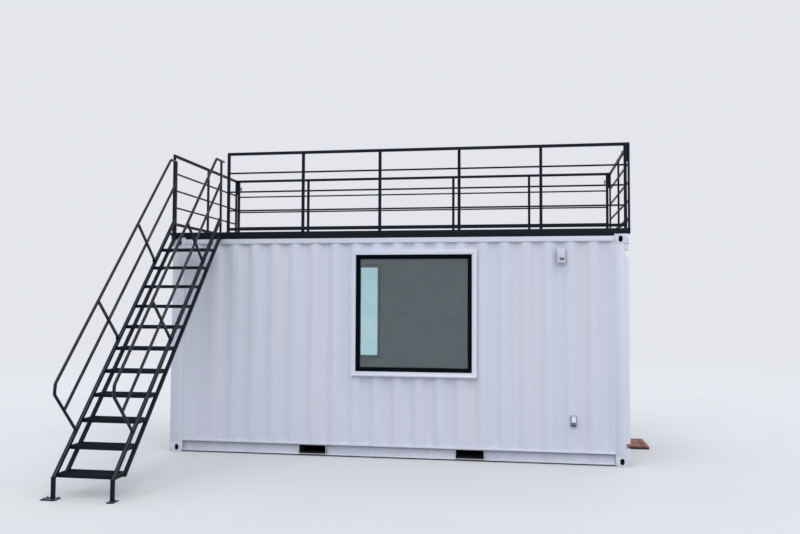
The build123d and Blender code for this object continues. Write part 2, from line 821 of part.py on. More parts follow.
# handrails: one bent tube a side, a lower rail, two slanted posts and a post on the deck
def bent_tube(x_mid, points, radius, bend):
    # straight runs of nearly round tube joined by bends of one radius, all in the plane at x_mid
    corners = [Vector(x_mid, y, z) for y, z in points]
    starts, stops, pieces = [corners[0]], [], []
    for before, corner, after in zip(corners, corners[1:], corners[2:]):
        back, on = (before - corner).normalized(), (after - corner).normalized()
        half = radians(back.get_angle(on)) / 2
        enter, leave = corner + back * (bend / tan(half)), corner + on * (bend / tan(half))
        centre = corner + (back + on).normalized() * (bend / sin(half))
        pin = Axis(centre, (enter - centre).cross(leave - centre))
        section = Plane(origin=enter, x_dir=(1, 0, 0), z_dir=-back) * RegularPolygon(radius, hand_sides)
        pieces.append(revolve(section, axis=pin, revolution_arc=180 - degrees(2 * half)))
        stops.append(enter)
        starts.append(leave)
    stops.append(corners[-1])
    for start, stop in zip(starts, stops):
        along = stop - start
        section = Plane(origin=start, x_dir=(1, 0, 0), z_dir=along) * RegularPolygon(radius, hand_sides)
        pieces.append(extrude(section, amount=along.length))
    whole = pieces[0]
    for piece in pieces[1:]:
        whole += piece
    return whole


def handrail(x_mid, start, side):
    low_y = chord_y(hand_low - hand_up)
    foot_y = chord_y(hand_foot_z)
    bend_y = low_y - hand_bend_out
    path = [start, (chord_y(hand_high - hand_up), hand_high), (low_y, hand_low), (bend_y, hand_bend_z),
            (foot_y, hand_foot_z)]
    whole = bent_tube(x_mid, path, hand_r, hand_bend_r)
    # lower rail from the post on the deck down to the tube that returns to the stringer
    mid_low_y = chord_foot_y + mid_low_in
    share = (chord_z(mid_low_y) + mid_up - hand_foot_z) / (hand_bend_z - hand_foot_z)
    low_end_y = foot_y + (bend_y - foot_y) * share
    whole += slanted(x_mid, mid_bar, mid_bar, low_end_y, chord_z(low_end_y) + mid_up,
                     top_post / 2, chord_z(top_post / 2) + mid_up)
    # posts square to the stair, from the front bar to the handrail
    for y in slant_feet:
        back = hand_up * up_y * up_z
        rise = hand_up * up_y * up_y
        whole += slanted(x_mid, slant_w, slant_t, y, chord_z(y), y - back, chord_z(y) + rise)
    whole += block(x_mid - top_post / 2, x_mid + top_post / 2, 0, top_post, deck_top + seat, hand_high)
    return whole - side


keep("left_handrail", [handrail(stair_left, (panel_set - seat, hand_high), left_side)])
keep("right_handrail", [handrail(stair_right, (hand_end_y, hand_high), right_side)])

os.makedirs("parts", exist_ok=True)
for name, shape in nodes.items():
    export_step(shift * shape, f"parts/{name}.step")
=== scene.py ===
import bpy
import bmesh
from math import cos, pi, radians, sin
from mathutils import Matrix, Vector


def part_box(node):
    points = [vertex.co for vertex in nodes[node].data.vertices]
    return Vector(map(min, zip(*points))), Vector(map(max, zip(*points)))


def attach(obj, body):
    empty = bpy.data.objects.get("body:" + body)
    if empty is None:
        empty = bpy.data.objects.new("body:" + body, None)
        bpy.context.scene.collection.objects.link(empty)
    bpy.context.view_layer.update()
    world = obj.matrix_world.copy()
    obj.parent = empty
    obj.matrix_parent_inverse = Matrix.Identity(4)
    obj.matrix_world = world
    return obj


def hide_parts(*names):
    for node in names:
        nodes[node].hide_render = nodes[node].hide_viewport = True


# Shipping container cabin with a railed roof deck and an outside stair. Metres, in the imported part's frame.
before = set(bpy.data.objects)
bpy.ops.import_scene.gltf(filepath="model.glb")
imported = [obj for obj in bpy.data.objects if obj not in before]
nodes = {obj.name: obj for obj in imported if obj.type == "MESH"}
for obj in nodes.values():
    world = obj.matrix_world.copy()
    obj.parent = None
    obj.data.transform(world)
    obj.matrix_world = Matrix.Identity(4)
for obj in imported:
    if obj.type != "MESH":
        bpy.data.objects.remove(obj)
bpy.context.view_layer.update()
shell_low, shell_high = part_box("bottom_corner_castings")


def from_shell(x, y, z):
    # a local point, which starts at the shell's left front bottom corner
    return Vector((shell_low.x + x, shell_low.y + y, z))


# Material graphs
def srgb(red, green, blue):
    def linear(c):
        c /= 255
        return c / 12.92 if c <= 0.04045 else ((c + 0.055) / 1.055) ** 2.4
    return (linear(red), linear(green), linear(blue), 1.0)


class Look:
    # one material and short calls for its nodes
    def __init__(self, name, rough=0.5, metal=0.0, gloss=0.5):
        self.mat = bpy.data.materials.new(name)
        self.mat.use_nodes = True
        self.tree = self.mat.node_tree
        self.tree.nodes.clear()
        self.bsdf = self.add("BsdfPrincipled", {"Roughness": rough, "Metallic": metal,
                                                "Specular IOR Level": gloss})
        self.out = self.add("OutputMaterial", {"Surface": self.bsdf.outputs["BSDF"]})
        self.place = self.add("TexCoord", {}).outputs["Object"]

    def fill(self, node, inputs):
        # each input gets another node's output or a plain value
        for name, value in inputs.items():
            if hasattr(value, "is_output"):
                self.tree.links.new(value, node.inputs[name])
            else:
                node.inputs[name].default_value = value
        return node

    def add(self, kind, inputs):
        return self.fill(self.tree.nodes.new("ShaderNode" + kind), inputs)

    def stretched(self, x, y, z):
        return self.add("Mapping", {"Vector": self.place, "Scale": (x, y, z)}).outputs["Vector"]

    def noise(self, scale, detail=3.0, rough=0.5, at=None):
        inputs = {"Vector": at or self.place, "Scale": scale, "Detail": detail, "Roughness": rough}
        return self.add("TexNoise", inputs).outputs["Fac"]

    def rings(self, scale, warp, at):
        node = self.add("TexWave", {"Vector": at, "Scale": scale, "Distortion": warp, "Detail": 3.0,
                                    "Detail Scale": 1.6})
        node.wave_type = "RINGS"
        return node.outputs["Fac"]

    def remap(self, value, low, high, to_low=0.0, to_high=1.0, smooth=False):
        node = self.add("MapRange", {"Value": value, "From Min": low, "From Max": high,
                                     "To Min": to_low, "To Max": to_high})
        node.interpolation_type = "SMOOTHSTEP" if smooth else "LINEAR"
        return node.outputs["Result"]

    def math(self, kind, a, b):
        node = self.add("Math", {0: a, 1: b})
        node.operation = kind
        return node.outputs["Value"]

    def times(self, first, *others):
        for other in others:
            first = self.math("MULTIPLY", first, other)
        return first

    def part_of(self, vector, which):
        return self.add("SeparateXYZ", {"Vector": vector}).outputs[which]

    def facing_up(self):
        return self.part_of(self.add("NewGeometry", {}).outputs["Normal"], "Z")

    def mix(self, share, a, b):
        # 0, 6 and 7 are the share and the two colours
        node = self.add("Mix", {})
        node.data_type = "RGBA"
        return self.fill(node, {0: share, 6: a, 7: b}).outputs[2]

    def colour(self, value):
        self.fill(self.bsdf, {"Base Color": value})

    def rough(self, value):
        self.fill(self.bsdf, {"Roughness": value})

    def bump(self, *layers):
        # layers are (height, strength, distance)
        node = self.bsdf
        for height, strength, distance in reversed(layers):
            bump = self.add("Bump", {"Height": height, "Strength": strength, "Distance": distance})
            self.fill(node, {"Normal": bump.outputs["Normal"]})
            node = bump


# Heights over which the bottom rails' recessed web starts, and over which it ends, which bound the painted
# shade there
WEB_STARTS = (0.0322, 0.0335)
WEB_ENDS = (0.1475, 0.1485)


def white_paint(name="white_satin_paint", edge_sheen_and_scuffs=0.0, lip_shade=False):
    look = Look(name)
    height = look.part_of(look.place, "Z")
    # two close tones in upright bands, with wide patches over them
    bands = look.noise(2.6, 2.0, at=look.stretched(1.0, 1.0, 0.04))
    base = look.mix(look.remap(bands, 0.34, 0.66, smooth=True), srgb(204, 206, 220), srgb(200, 207, 222))
    mottle = look.noise(0.8, 3.0)
    base = look.mix(look.remap(mottle, 0.35, 0.7, 0.0, 0.3), base, srgb(198, 202, 217))
    # faint runs down the walls
    runs = look.noise(9.0, 4.0, at=look.stretched(1.0, 1.0, 0.05))
    base = look.mix(look.remap(runs, 0.58, 0.82, 0.0, 0.14, smooth=True), base, srgb(186, 188, 200))
    # splash dirt low down
    splash = look.noise(12.0, 5.0, 0.6)
    low = look.remap(height, 0.04, 0.55, 1.0, 0.0)
    dirt = look.times(low, low, look.remap(splash, 0.40, 0.75), 0.24)
    base = look.mix(dirt, base, srgb(150, 144, 140))
    # small chips
    chips = look.remap(look.noise(46.0, 6.0, 0.72), 0.745, 0.765)
    base = look.mix(look.times(chips, 0.45), base, srgb(140, 118, 104))
    if edge_sheen_and_scuffs:
        # edges: a pale painted highlight along them, scuffed here and there
        base = look.mix(0.75, base, srgb(224, 226, 234))
        edge_marks = look.remap(look.noise(16.0, 5.0, 0.6), 0.54, 0.68, 0.0, edge_sheen_and_scuffs)
        base = look.mix(edge_marks, base, srgb(150, 144, 144))
    if lip_shade:
        # painted shade in the bottom rails' web, most of it close under the upper lip, where the lip shades
        # the web
        web = look.times(look.remap(height, *WEB_STARTS), look.remap(height, *WEB_ENDS, 1.0, 0.0))
        streaks = look.noise(7.0, 4.0, at=look.stretched(1.0, 1.0, 0.3))
        shade_near_lip = look.remap(height, 0.128, 0.146, 0.0, 0.66, smooth=True)
        painted_shade = look.math("ADD", shade_near_lip, look.remap(height, 0.04, 0.13, 0.05, 0.30))
        painted_shade = look.times(painted_shade, web, look.remap(streaks, 0.3, 0.7, 0.75, 1.1))
        base = look.mix(painted_shade, base, srgb(44, 58, 92))
    look.colour(base)
    look.rough(look.remap(look.noise(5.0, 4.0), 0.3, 0.7, 0.40, 0.55))
    look.bump((look.noise(1.6, 2.0), 0.20, 0.003), (look.noise(420.0, 2.0), 0.06, 0.0004))
    return look.mat


def black_coat(name="black_powder_coat", dust_and_sheen=0.55, dust_and_sheen_from=0.86, edge_sheen_and_scuffs=0.0, gloss=0.13,
               rough=(0.40, 0.55)):
    look = Look(name, gloss=gloss)
    speckle = look.noise(60.0, 4.0, 0.6)
    base = look.mix(look.remap(speckle, 0.3, 0.7), srgb(8, 12, 22), srgb(17, 22, 36))
    # dust in patches on the faces that look up, which also paints a highlight on their tops, on a tube's
    # upper strip most of all
    up = look.remap(look.facing_up(), dust_and_sheen_from, 0.99)
    patches = look.remap(look.noise(6.0, 5.0, 0.6), 0.35, 0.70, 0.45, 1.0)
    base = look.mix(look.times(up, patches, dust_and_sheen), base, srgb(94, 99, 113))
    if edge_sheen_and_scuffs:
        # lighter marks on the edges: scuffs, and a painted highlight along them
        edge_marks = look.remap(look.noise(5.0, 4.0, 0.6), 0.46, 0.70, 0.0, edge_sheen_and_scuffs)
        base = look.mix(edge_marks, base, srgb(78, 81, 92))
    # small chips, brown at their bottom
    worn = look.remap(look.noise(28.0, 6.0, 0.7), 0.72, 0.75)
    base = look.mix(look.times(worn, 0.30), base, srgb(82, 66, 58))
    look.colour(base)
    look.rough(look.remap(look.noise(9.0, 4.0), 0.3, 0.7, *rough))
    look.bump((look.noise(380.0, 2.0), 0.10, 0.0005))
    return look.mat


def frame_black():
    look = Look("window_frame_coat", gloss=0.03)
    base = look.mix(look.remap(look.noise(40.0, 3.0), 0.3, 0.7), srgb(2, 7, 14), srgb(6, 11, 20))
    look.colour(base)
    look.rough(look.remap(look.noise(12.0, 3.0), 0.3, 0.7, 0.32, 0.45))
    look.bump((look.noise(500.0, 2.0), 0.06, 0.0003))
    return look.mat


def rubber():
    look = Look("seal_rubber", rough=0.75)
    look.colour(look.mix(look.noise(90.0, 3.0), srgb(14, 14, 15), srgb(30, 30, 31)))
    look.bump((look.noise(700.0, 2.0), 0.15, 0.0003))
    return look.mat


def pane_glass():
    look = Look("window_pane", rough=0.0)
    look.fill(look.bsdf, {"Transmission Weight": 1.0, "IOR": 1.5})
    smear = look.remap(look.noise(3.0, 4.0), 0.35, 0.75)
    look.colour(look.mix(smear, srgb(239, 250, 252), srgb(231, 245, 248)))
    look.rough(look.remap(look.noise(5.0, 5.0, 0.6), 0.45, 0.8, 0.0, 0.035))
    return look.mat


# How wood's grain is stretched, by the way that it runs
GRAINS = {"X": (0.35, 6.0, 6.0), "Y": (6.0, 0.35, 6.0)}


def wood(name, light, dark, scale, along, weather=0.0, rough=0.7, sides=None):
    look = Look(name)
    grain_at = look.stretched(*[s * scale for s in GRAINS[along]])
    rings = look.rings(1.1, 6.0, grain_at)
    fibre = look.noise(9.0, 6.0, 0.7, at=grain_at)
    base = look.mix(look.remap(rings, 0.15, 0.85), light, dark)
    base = look.mix(look.remap(fibre, 0.45, 0.8, 0.0, 0.6), base, dark)
    boards = look.noise(1.3, 2.0)
    base = look.mix(look.remap(boards, 0.35, 0.65, 0.0, 0.35), base, light)
    if weather:
        grey = look.remap(look.noise(5.0, 5.0, 0.6), 0.42, 0.75, 0.0, weather)
        base = look.mix(grey, base, srgb(128, 116, 108))
    if sides:
        # painted shade: darker on the faces that don't look up
        base = look.mix(look.remap(look.facing_up(), 0.3, 0.8, 0.85, 0.0), base, sides)
    look.colour(base)
    look.rough(look.remap(fibre, 0.3, 0.7, rough - 0.12, rough + 0.1))
    look.bump((fibre, 0.25, 0.0012), (rings, 0.12, 0.0010))
    return look.mat


def lining_paint():
    look = Look("lining_board_paint")
    patches = look.remap(look.noise(2.0, 3.0), 0.3, 0.7)
    look.colour(look.mix(patches, srgb(208, 206, 200), srgb(196, 194, 188)))
    look.rough(look.remap(look.noise(18.0, 4.0), 0.3, 0.7, 0.5, 0.68))
    look.bump((look.noise(260.0, 3.0), 0.10, 0.0006))
    return look.mat


def plain(name, one, two, rough):
    # plastics, sealant and small coated things, in two close tones
    look = Look(name)
    look.colour(look.mix(look.remap(look.noise(25.0, 4.0), 0.3, 0.7), one, two))
    look.rough(look.remap(look.noise(40.0, 3.0), 0.3, 0.7, rough - 0.07, rough + 0.07))
    look.bump((look.noise(600.0, 2.0), 0.10, 0.0003))
    return look.mat


def bright_metal(name="brushed_metal", tint=(168, 170, 174)):
    look = Look(name, metal=1.0)
    # fine lines along Y
    lines = look.noise(60.0, 4.0, 0.6, at=look.stretched(6.0, 0.4, 6.0))
    shade = [c * 0.86 for c in tint]
    look.colour(look.mix(look.remap(lines, 0.3, 0.7), srgb(*tint), srgb(*shade)))
    look.rough(look.remap(lines, 0.3, 0.7, 0.26, 0.42))
    look.bump((lines, 0.08, 0.0002))
    return look.mat


def underbody():
    look = Look("underbody_coat")
    base = look.mix(look.remap(look.noise(14.0, 5.0), 0.3, 0.7), srgb(44, 44, 46), srgb(60, 58, 57))
    mud = look.remap(look.noise(4.0, 6.0, 0.65), 0.5, 0.8, 0.0, 0.5)
    look.colour(look.mix(mud, base, srgb(104, 92, 82)))
    look.rough(look.remap(look.noise(22.0, 4.0), 0.3, 0.7, 0.6, 0.85))
    look.bump((look.noise(120.0, 4.0), 0.4, 0.0012))
    return look.mat


# Looks
paint = white_paint()
# paint for the bevelled edges: a pale painted highlight, with scuffs
paint_edge = white_paint("white_paint_edge_highlight", 0.40)
# the bottom rails' paint, with a painted shade in the web under their upper lip
rail_shaded_paint = white_paint("rail_shaded_paint", lip_shade=True)
hole_shade = plain("casting_hole_shade", srgb(34, 34, 38), srgb(24, 23, 25), 0.75)
# black coats: faces that look up get dust with a painted highlight, and the edge coat has lighter painted
# edges too
coat = black_coat()
coat_edge = black_coat("black_coat_edge_highlight", 0.60, 0.5, 0.40)
tube_coat = black_coat("tube_coat", 0.35, 0.75, gloss=0.28, rough=(0.20, 0.32))
tread_coat = black_coat("tread_coat", 0.45)
window_coat = frame_black()
seal = rubber()
glass = pane_glass()
lining = lining_paint()
floor_wood = wood("floor_plywood", srgb(150, 112, 74), srgb(104, 72, 46), 1.0, "X", rough=0.5)
deck_wood = wood("deck_plywood", srgb(74, 62, 54), srgb(46, 38, 33), 1.0, "Y", weather=0.25)
# the step's timber, with a painted shade on its sides and ends
step_timber = wood("step_timber", srgb(144, 79, 55), srgb(92, 48, 34), 2.8, "Y",
                   weather=0.12, rough=0.75, sides=srgb(44, 26, 22))
hood_plastic = plain("vent_plastic", srgb(190, 193, 206), srgb(184, 188, 201), 0.5)
box_plastic = plain("outlet_plastic", srgb(140, 146, 160), srgb(126, 132, 147), 0.5)
lid_plastic = plain("lid_plastic", srgb(226, 230, 240), srgb(217, 222, 233), 0.4)
metal = bright_metal()
zinc = bright_metal("zinc_plate", (150, 152, 154))
spacer_metal = plain("pane_spacer", srgb(176, 182, 186), srgb(160, 166, 170), 0.45)
under = underbody()
bolt_black = plain("bolt_coat", srgb(30, 31, 35), srgb(44, 45, 50), 0.4)
sealant_look = plain("sealant", srgb(206, 208, 214), srgb(190, 192, 200), 0.6)
EDGE_LOOKS = {paint: paint_edge, rail_shaded_paint: paint_edge, coat: coat_edge}


# Sizes that several pieces share: the castings' blocks, and the air left between parts that only lie close
CAST_X = 0.178
CAST_Y = 0.162
CAST_Z = 0.118
HAIR = 0.0002
UP = Vector((0, 0, 1))
# a unit vector that has more than this along an axis counts as parallel to it
PARALLEL = 0.99

# Widths of rounded edges
TUBE_EDGE = 0.003
PLATE_EDGE = 0.002
RAIL_EDGE = 0.0018
FINE_EDGE = 0.0015
TINY_EDGE = 0.0008


# Pieces
def piece(name, mesh, look, slot, *stands_for):
    obj = bpy.data.objects.new(name, mesh)
    bpy.context.scene.collection.objects.link(obj)
    obj.data.materials.clear()
    obj.data.materials.append(look)
    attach(obj, "root")
    if stands_for:
        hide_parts(*stands_for)
    return obj


def rounded(obj, width, segments=2, by="ANGLE", angle=50):
    # bevels edges by their angle, with the edge look, a painted highlight with scuffs, where there is one, or
    # by their weight
    bevel = obj.modifiers.new("edges", "BEVEL")
    bevel.width = width
    bevel.segments = segments
    bevel.limit_method = by
    bevel.angle_limit = radians(angle)
    bevel.harden_normals = True
    bevel.use_clamp_overlap = by == "ANGLE"
    edge = EDGE_LOOKS.get(obj.data.materials[0])
    if edge and by == "ANGLE":
        obj.data.materials.append(edge)
        bevel.material = 1
    return obj


def paint_some(obj, look, test):
    # another look on the faces that pass a test
    obj.data.materials.append(look)
    for face in obj.data.polygons:
        if test(face):
            face.material_index = len(obj.data.materials) - 1


SAME_POINT = 1e-5
FLAT_WITHIN = radians(0.5)


def skin(node, look, slot, smooth=True, change=None):
    # stands for a node: a copy of its surface with whole flat faces, which change may work on
    mesh = nodes[node].data.copy()
    grid = bmesh.new()
    grid.from_mesh(mesh)
    bmesh.ops.remove_doubles(grid, verts=grid.verts, dist=SAME_POINT)
    bmesh.ops.dissolve_limit(grid, angle_limit=FLAT_WITHIN, verts=grid.verts, edges=grid.edges)
    bmesh.ops.recalc_face_normals(grid, faces=grid.faces)
    for face in grid.faces:
        face.smooth = smooth
    if change:
        change(grid)
    grid.to_mesh(mesh)
    grid.free()
    return piece(node + "_skin", mesh, look, slot, node)


def dress(look, slot, width, *names, segments=2):
    for name in names:
        rounded(skin(name, look, slot), width, segments)


FOLD_RADIUS = 0.014
FOLD_SEGMENTS = 4
FOLD_LEAST, FOLD_MOST = radians(12), radians(60)
SHARP_FROM = radians(25)
# corners this far or more from a sheet's lower and upper rim belong to its openings
RIM_LOW = 0.05
RIM_HIGH = 0.01


def dress_sheet(node):
    # stands for a folded wall sheet, with its folds bent to a radius
    low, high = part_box(node)
    axis = 0 if high.x - low.x > high.y - low.y else 1

    def bend(grid):
        corners = [v.co[axis] for v in grid.verts if low.z + RIM_LOW < v.co.z < high.z - RIM_HIGH]
        weight = grid.edges.layers.float.new("bevel_weight_edge")
        for edge in grid.edges:
            if len(edge.link_faces) != 2:
                continue
            along = (edge.verts[1].co - edge.verts[0].co).normalized()
            turn = edge.calc_face_angle()
            at = edge.verts[0].co[axis]
            # a fold within its radius of an opening's corner stays sharp
            clear = all(abs(at - c) > FOLD_RADIUS or abs(at - c) < HAIR for c in corners)
            if clear and abs(along.z) > PARALLEL and FOLD_LEAST < turn < FOLD_MOST:
                edge[weight] = 1.0
            elif turn > SHARP_FROM:
                edge.smooth = False

    rounded(skin(node, paint, "white_steel", change=bend), FOLD_RADIUS, FOLD_SEGMENTS, "WEIGHT")


# a flat face deeper than this under a casting's outsides is in one of its holes
CAST_SKIN = 0.0025


def dress_castings(node):
    # white on the blocks' flat outsides, and a dark painted shade in the holes
    low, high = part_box(node)
    sizes = (CAST_X, CAST_Y, CAST_Z)

    def inside(face):
        axis = max(range(3), key=lambda k: abs(face.normal[k]))
        at = face.center[axis]
        outsides = (low[axis], high[axis], low[axis] + sizes[axis], high[axis] - sizes[axis])
        return abs(face.normal[axis]) < PARALLEL or min(abs(at - s) for s in outsides) > CAST_SKIN

    obj = rounded(skin(node, paint, "white_steel"), TUBE_EDGE, 3)
    paint_some(obj, hole_shade, inside)


def dress_pockets():
    # white where the pockets' ends show in the rails, black coated inside
    obj = skin("fork_pockets", paint, "white_steel", smooth=False)
    paint_some(obj, under, lambda face: abs(face.normal.y) < 0.9)


def dress_shell():
    for name in ("bottom_corner_castings", "top_corner_castings"):
        dress_castings(name)
    dress(paint, "white_steel", TUBE_EDGE, "left_corner_posts", "right_corner_posts")
    dress(rail_shaded_paint, "white_steel", RAIL_EDGE, "bottom_side_rails")
    dress(paint, "white_steel", RAIL_EDGE, "top_side_rails", "end_sills", "end_headers")
    dress_pockets()
    for name in ("front_wall", "back_wall", "left_end_wall", "right_end_wall"):
        dress_sheet(name)
    dress(paint, "white_steel", PLATE_EDGE, "window_casings")
    dress(paint, "white_steel", FINE_EDGE, "door_frame")
    dress(paint, "white_steel", PLATE_EDGE, "door_leaf")


def dress_deck():
    dress(coat, "black_steel", RAIL_EDGE, "deck_side_beams", "deck_end_beams")
    dress(coat, "black_steel", TUBE_EDGE, "front_railing", "back_railing", "left_railing", "right_railing")
    dress(coat, "black_steel", PLATE_EDGE, "railing_clamps")
    dress(deck_wood, "deck_board", PLATE_EDGE, "deck_boards")


def dress_stair():
    dress(coat, "black_steel", TUBE_EDGE, "stair_left_stringer", "stair_right_stringer")
    dress(coat, "black_steel", FINE_EDGE, "stair_feet")
    dress(tube_coat, "black_steel", FINE_EDGE, "left_handrail", "right_handrail")


def dress_fittings():
    dress(window_coat, "window_frame_black", FINE_EDGE, "window_frames")
    dress(hood_plastic, "white_plastic", TUBE_EDGE, "wall_vent", segments=3)
    dress(box_plastic, "grey_plastic", TUBE_EDGE, "outlet_box", segments=3)
    dress(metal, "handle_metal", FINE_EDGE, "door_handle")
    dress(step_timber, "step_wood", TUBE_EDGE, "door_step")


def finish_plain_nodes():
    # solids that keep their own mesh and only get a look
    looks = {"floor_cross_members": under, "floor_boards": floor_wood, "roof_sheet": paint,
             "front_lining": lining, "back_lining": lining, "left_lining": lining, "right_lining": lining,
             "ceiling_lining": lining, "deck_joists": coat, "stair_treads": tread_coat}
    for name, look in looks.items():
        nodes[name].data.materials.clear()
        nodes[name].data.materials.append(look)


# A washer's and a bolt head's thickness and radius, as shares of the bolt's size
WASHER_T, WASHER_R = 0.2, 1.25
HEXAGON_T, HEXAGON_R = 0.85, 0.92


class Mesh:
    # blocks, bars, bolts and beads, gathered in one mesh for each piece
    def __init__(self):
        self.grid = bmesh.new()

    def block(self, one, other):
        # between two opposite corners, in any order
        low = Vector([min(pair) for pair in zip(one, other)])
        high = Vector([max(pair) for pair in zip(one, other)])
        made = bmesh.ops.create_cube(self.grid, size=1.0)
        bmesh.ops.scale(self.grid, vec=high - low, verts=made["verts"])
        bmesh.ops.translate(self.grid, vec=(high + low) / 2, verts=made["verts"])

    def prism(self, points, thick):
        # points go round one side in 3-D, thick is the vector to the other side
        near = [self.grid.verts.new(p) for p in points]
        far = [self.grid.verts.new(Vector(p) + Vector(thick)) for p in points]
        self.grid.faces.new(near)
        self.grid.faces.new(list(reversed(far)))
        for k in range(len(near)):
            j = (k + 1) % len(near)
            self.grid.faces.new((near[k], far[k], far[j], near[j]))

    def rod(self, start, stop, radius, sides):
        start, stop = Vector(start), Vector(stop)
        turn = (stop - start).to_track_quat("Z", "Y").to_matrix().to_4x4()
        place = Matrix.Translation((start + stop) / 2) @ turn
        bmesh.ops.create_cone(self.grid, cap_ends=True, segments=sides, radius1=radius, radius2=radius,
                              depth=(stop - start).length, matrix=place)

    def bolt(self, at, out, size):
        # a hexagon head on a washer, standing out from a surface
        at, out = Vector(at), Vector(out).normalized()
        self.rod(at, at + out * size * WASHER_T, size * WASHER_R, 20)
        self.rod(at, at + out * size * HEXAGON_T, size * HEXAGON_R, 6)

    def mesh(self, name, smooth=False):
        bmesh.ops.recalc_face_normals(self.grid, faces=self.grid.faces)
        for face in self.grid.faces:
            face.smooth = smooth
        mesh = bpy.data.meshes.new(name)
        self.grid.to_mesh(mesh)
        self.grid.free()
        return mesh

    def as_piece(self, name, look, slot, *stands_for, smooth=False):
        return piece(name, self.mesh(name, smooth), look, slot, *stands_for)


# Stair treads: open grating with toothed bars between end plates
TREAD_COUNT = 11
TREAD_DEPTH = 0.240
TREAD_DROP = 0.040
BAR_THICK = 0.004
THIN_BAR = BAR_THICK * 0.7
BAR_DEEP = 0.030
BAR_COUNT = 8
TOOTH = 0.0125
TOOTH_DEEP = 0.004
TOOTH_SHARES = (0.30, 0.5, 0.70)
CROSS_BARS = 13
CROSS_BAR = 0.006


def toothed_bar(gather, x0, x1, y, top, deep, thick):
    count = int((x1 - x0) / TOOTH)
    step = (x1 - x0) / count
    first, lowest, last = (step * share for share in TOOTH_SHARES)
    points = [(x0, y, top - deep), (x0, y, top)]
    for k in range(count):
        x = x0 + k * step
        points += [(x + first, y, top), (x + lowest, y, top - TOOTH_DEEP), (x + last, y, top)]
    points += [(x1, y, top), (x1, y, top - deep)]
    gather.prism(points, (0, thick, 0))


def tread_grating():
    low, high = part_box("stair_treads")
    rise = (high.z - low.z - TREAD_DROP) / (TREAD_COUNT - 1)
    run = (high.y - low.y - TREAD_DEPTH) / (TREAD_COUNT - 1)
    x0, x1 = low.x + BAR_THICK, high.x - BAR_THICK
    gather = Mesh()
    for k in range(TREAD_COUNT):
        y0 = low.y + k * run
        y1 = y0 + TREAD_DEPTH
        top = low.z + TREAD_DROP + k * rise
        for x in (low.x, x1):
            gather.block((x, y0, top - TREAD_DROP), (x + BAR_THICK, y1, top))
        toothed_bar(gather, x0, x1, y0, top, TREAD_DROP, BAR_THICK)
        toothed_bar(gather, x0, x1, y1 - BAR_THICK, top, BAR_DEEP, BAR_THICK)
        for j in range(1, BAR_COUNT):
            y = y0 + (TREAD_DEPTH - BAR_THICK) * j / BAR_COUNT
            toothed_bar(gather, x0, x1, y, top, BAR_DEEP, THIN_BAR)
        for j in range(1, CROSS_BARS):
            x = x0 + (x1 - x0) * j / CROSS_BARS
            gather.block((x - CROSS_BAR / 2, y0 + BAR_THICK, top - TOOTH_DEEP - CROSS_BAR),
                         (x + CROSS_BAR / 2, y1 - BAR_THICK, top - TOOTH_DEEP))
    gather.as_piece("tread_grating", tread_coat, "tread_grating", "stair_treads")


# Windows: two panes with a spacer between them, and rubber strips in front of the outer pane
FRAME_BAR = 0.050
PANE_Y = 0.031
PANE_THICK = 0.004
PANE_APART = 0.020
PANE_GRIP = 0.006
SPACER = 0.016
GASKET = 0.007
GASKET_DEEP = 0.004
GASKET_LAP = 0.001
GASKET_EDGE = 0.0012


def window_lefts(low, high):
    # the two frames' local left ends, and whether each is in the back wall
    return ((high.x - (high.z - low.z) - shell_low.x, False), (low.x - shell_low.x, True))


def behind_face(near, far, at_back):
    # two depths behind a window's own wall, as local y
    depth = shell_high.y - shell_low.y
    return (depth - far, depth - near) if at_back else (near, far)


def bar_ring(gather, x0, x1, z0, z1, depths, bar):
    # four bars round a window: the level ones reach across, the upright ones stand between them
    a, b = depths
    gather.block(from_shell(x0, a, z0), from_shell(x1, b, z0 + bar))
    gather.block(from_shell(x0, a, z1 - bar), from_shell(x1, b, z1))
    gather.block(from_shell(x0, a, z0 + bar), from_shell(x0 + bar, b, z1 - bar))
    gather.block(from_shell(x1 - bar, a, z0 + bar), from_shell(x1, b, z1 - bar))


def window_panes():
    panes, spacers = Mesh(), Mesh()
    low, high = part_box("window_frames")
    inset = FRAME_BAR - PANE_GRIP
    z0, z1 = low.z + inset, high.z - inset
    for left, at_back in window_lefts(low, high):
        x0, x1 = left + inset, left + (high.z - low.z) - inset
        for y in (PANE_Y, PANE_Y + PANE_APART):
            a, b = behind_face(y, y + PANE_THICK, at_back)
            panes.block(from_shell(x0, a, z0), from_shell(x1, b, z1))
        between = behind_face(PANE_Y + PANE_THICK, PANE_Y + PANE_APART, at_back)
        bar_ring(spacers, x0, x1, z0, z1, between, SPACER)
    panes.as_piece("window_panes", glass, "window_glass", "window_glass")
    spacers.as_piece("pane_spacers", spacer_metal, "window_frame_black")


def window_gaskets():
    gather = Mesh()
    low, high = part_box("window_frames")
    inset = FRAME_BAR - GASKET_LAP
    for left, at_back in window_lefts(low, high):
        depths = behind_face(PANE_Y - GASKET_DEEP, PANE_Y - HAIR, at_back)
        x0, x1 = left + inset, left + (high.z - low.z) - inset
        bar_ring(gather, x0, x1, low.z + inset, high.z - inset, depths, GASKET)
    rounded(gather.as_piece("window_gaskets", seal, "window_frame_black"), GASKET_EDGE)


# Weld beads: rippled runs along straight lines
BEAD_SIDES = 5
BEAD_DIP = 0.72


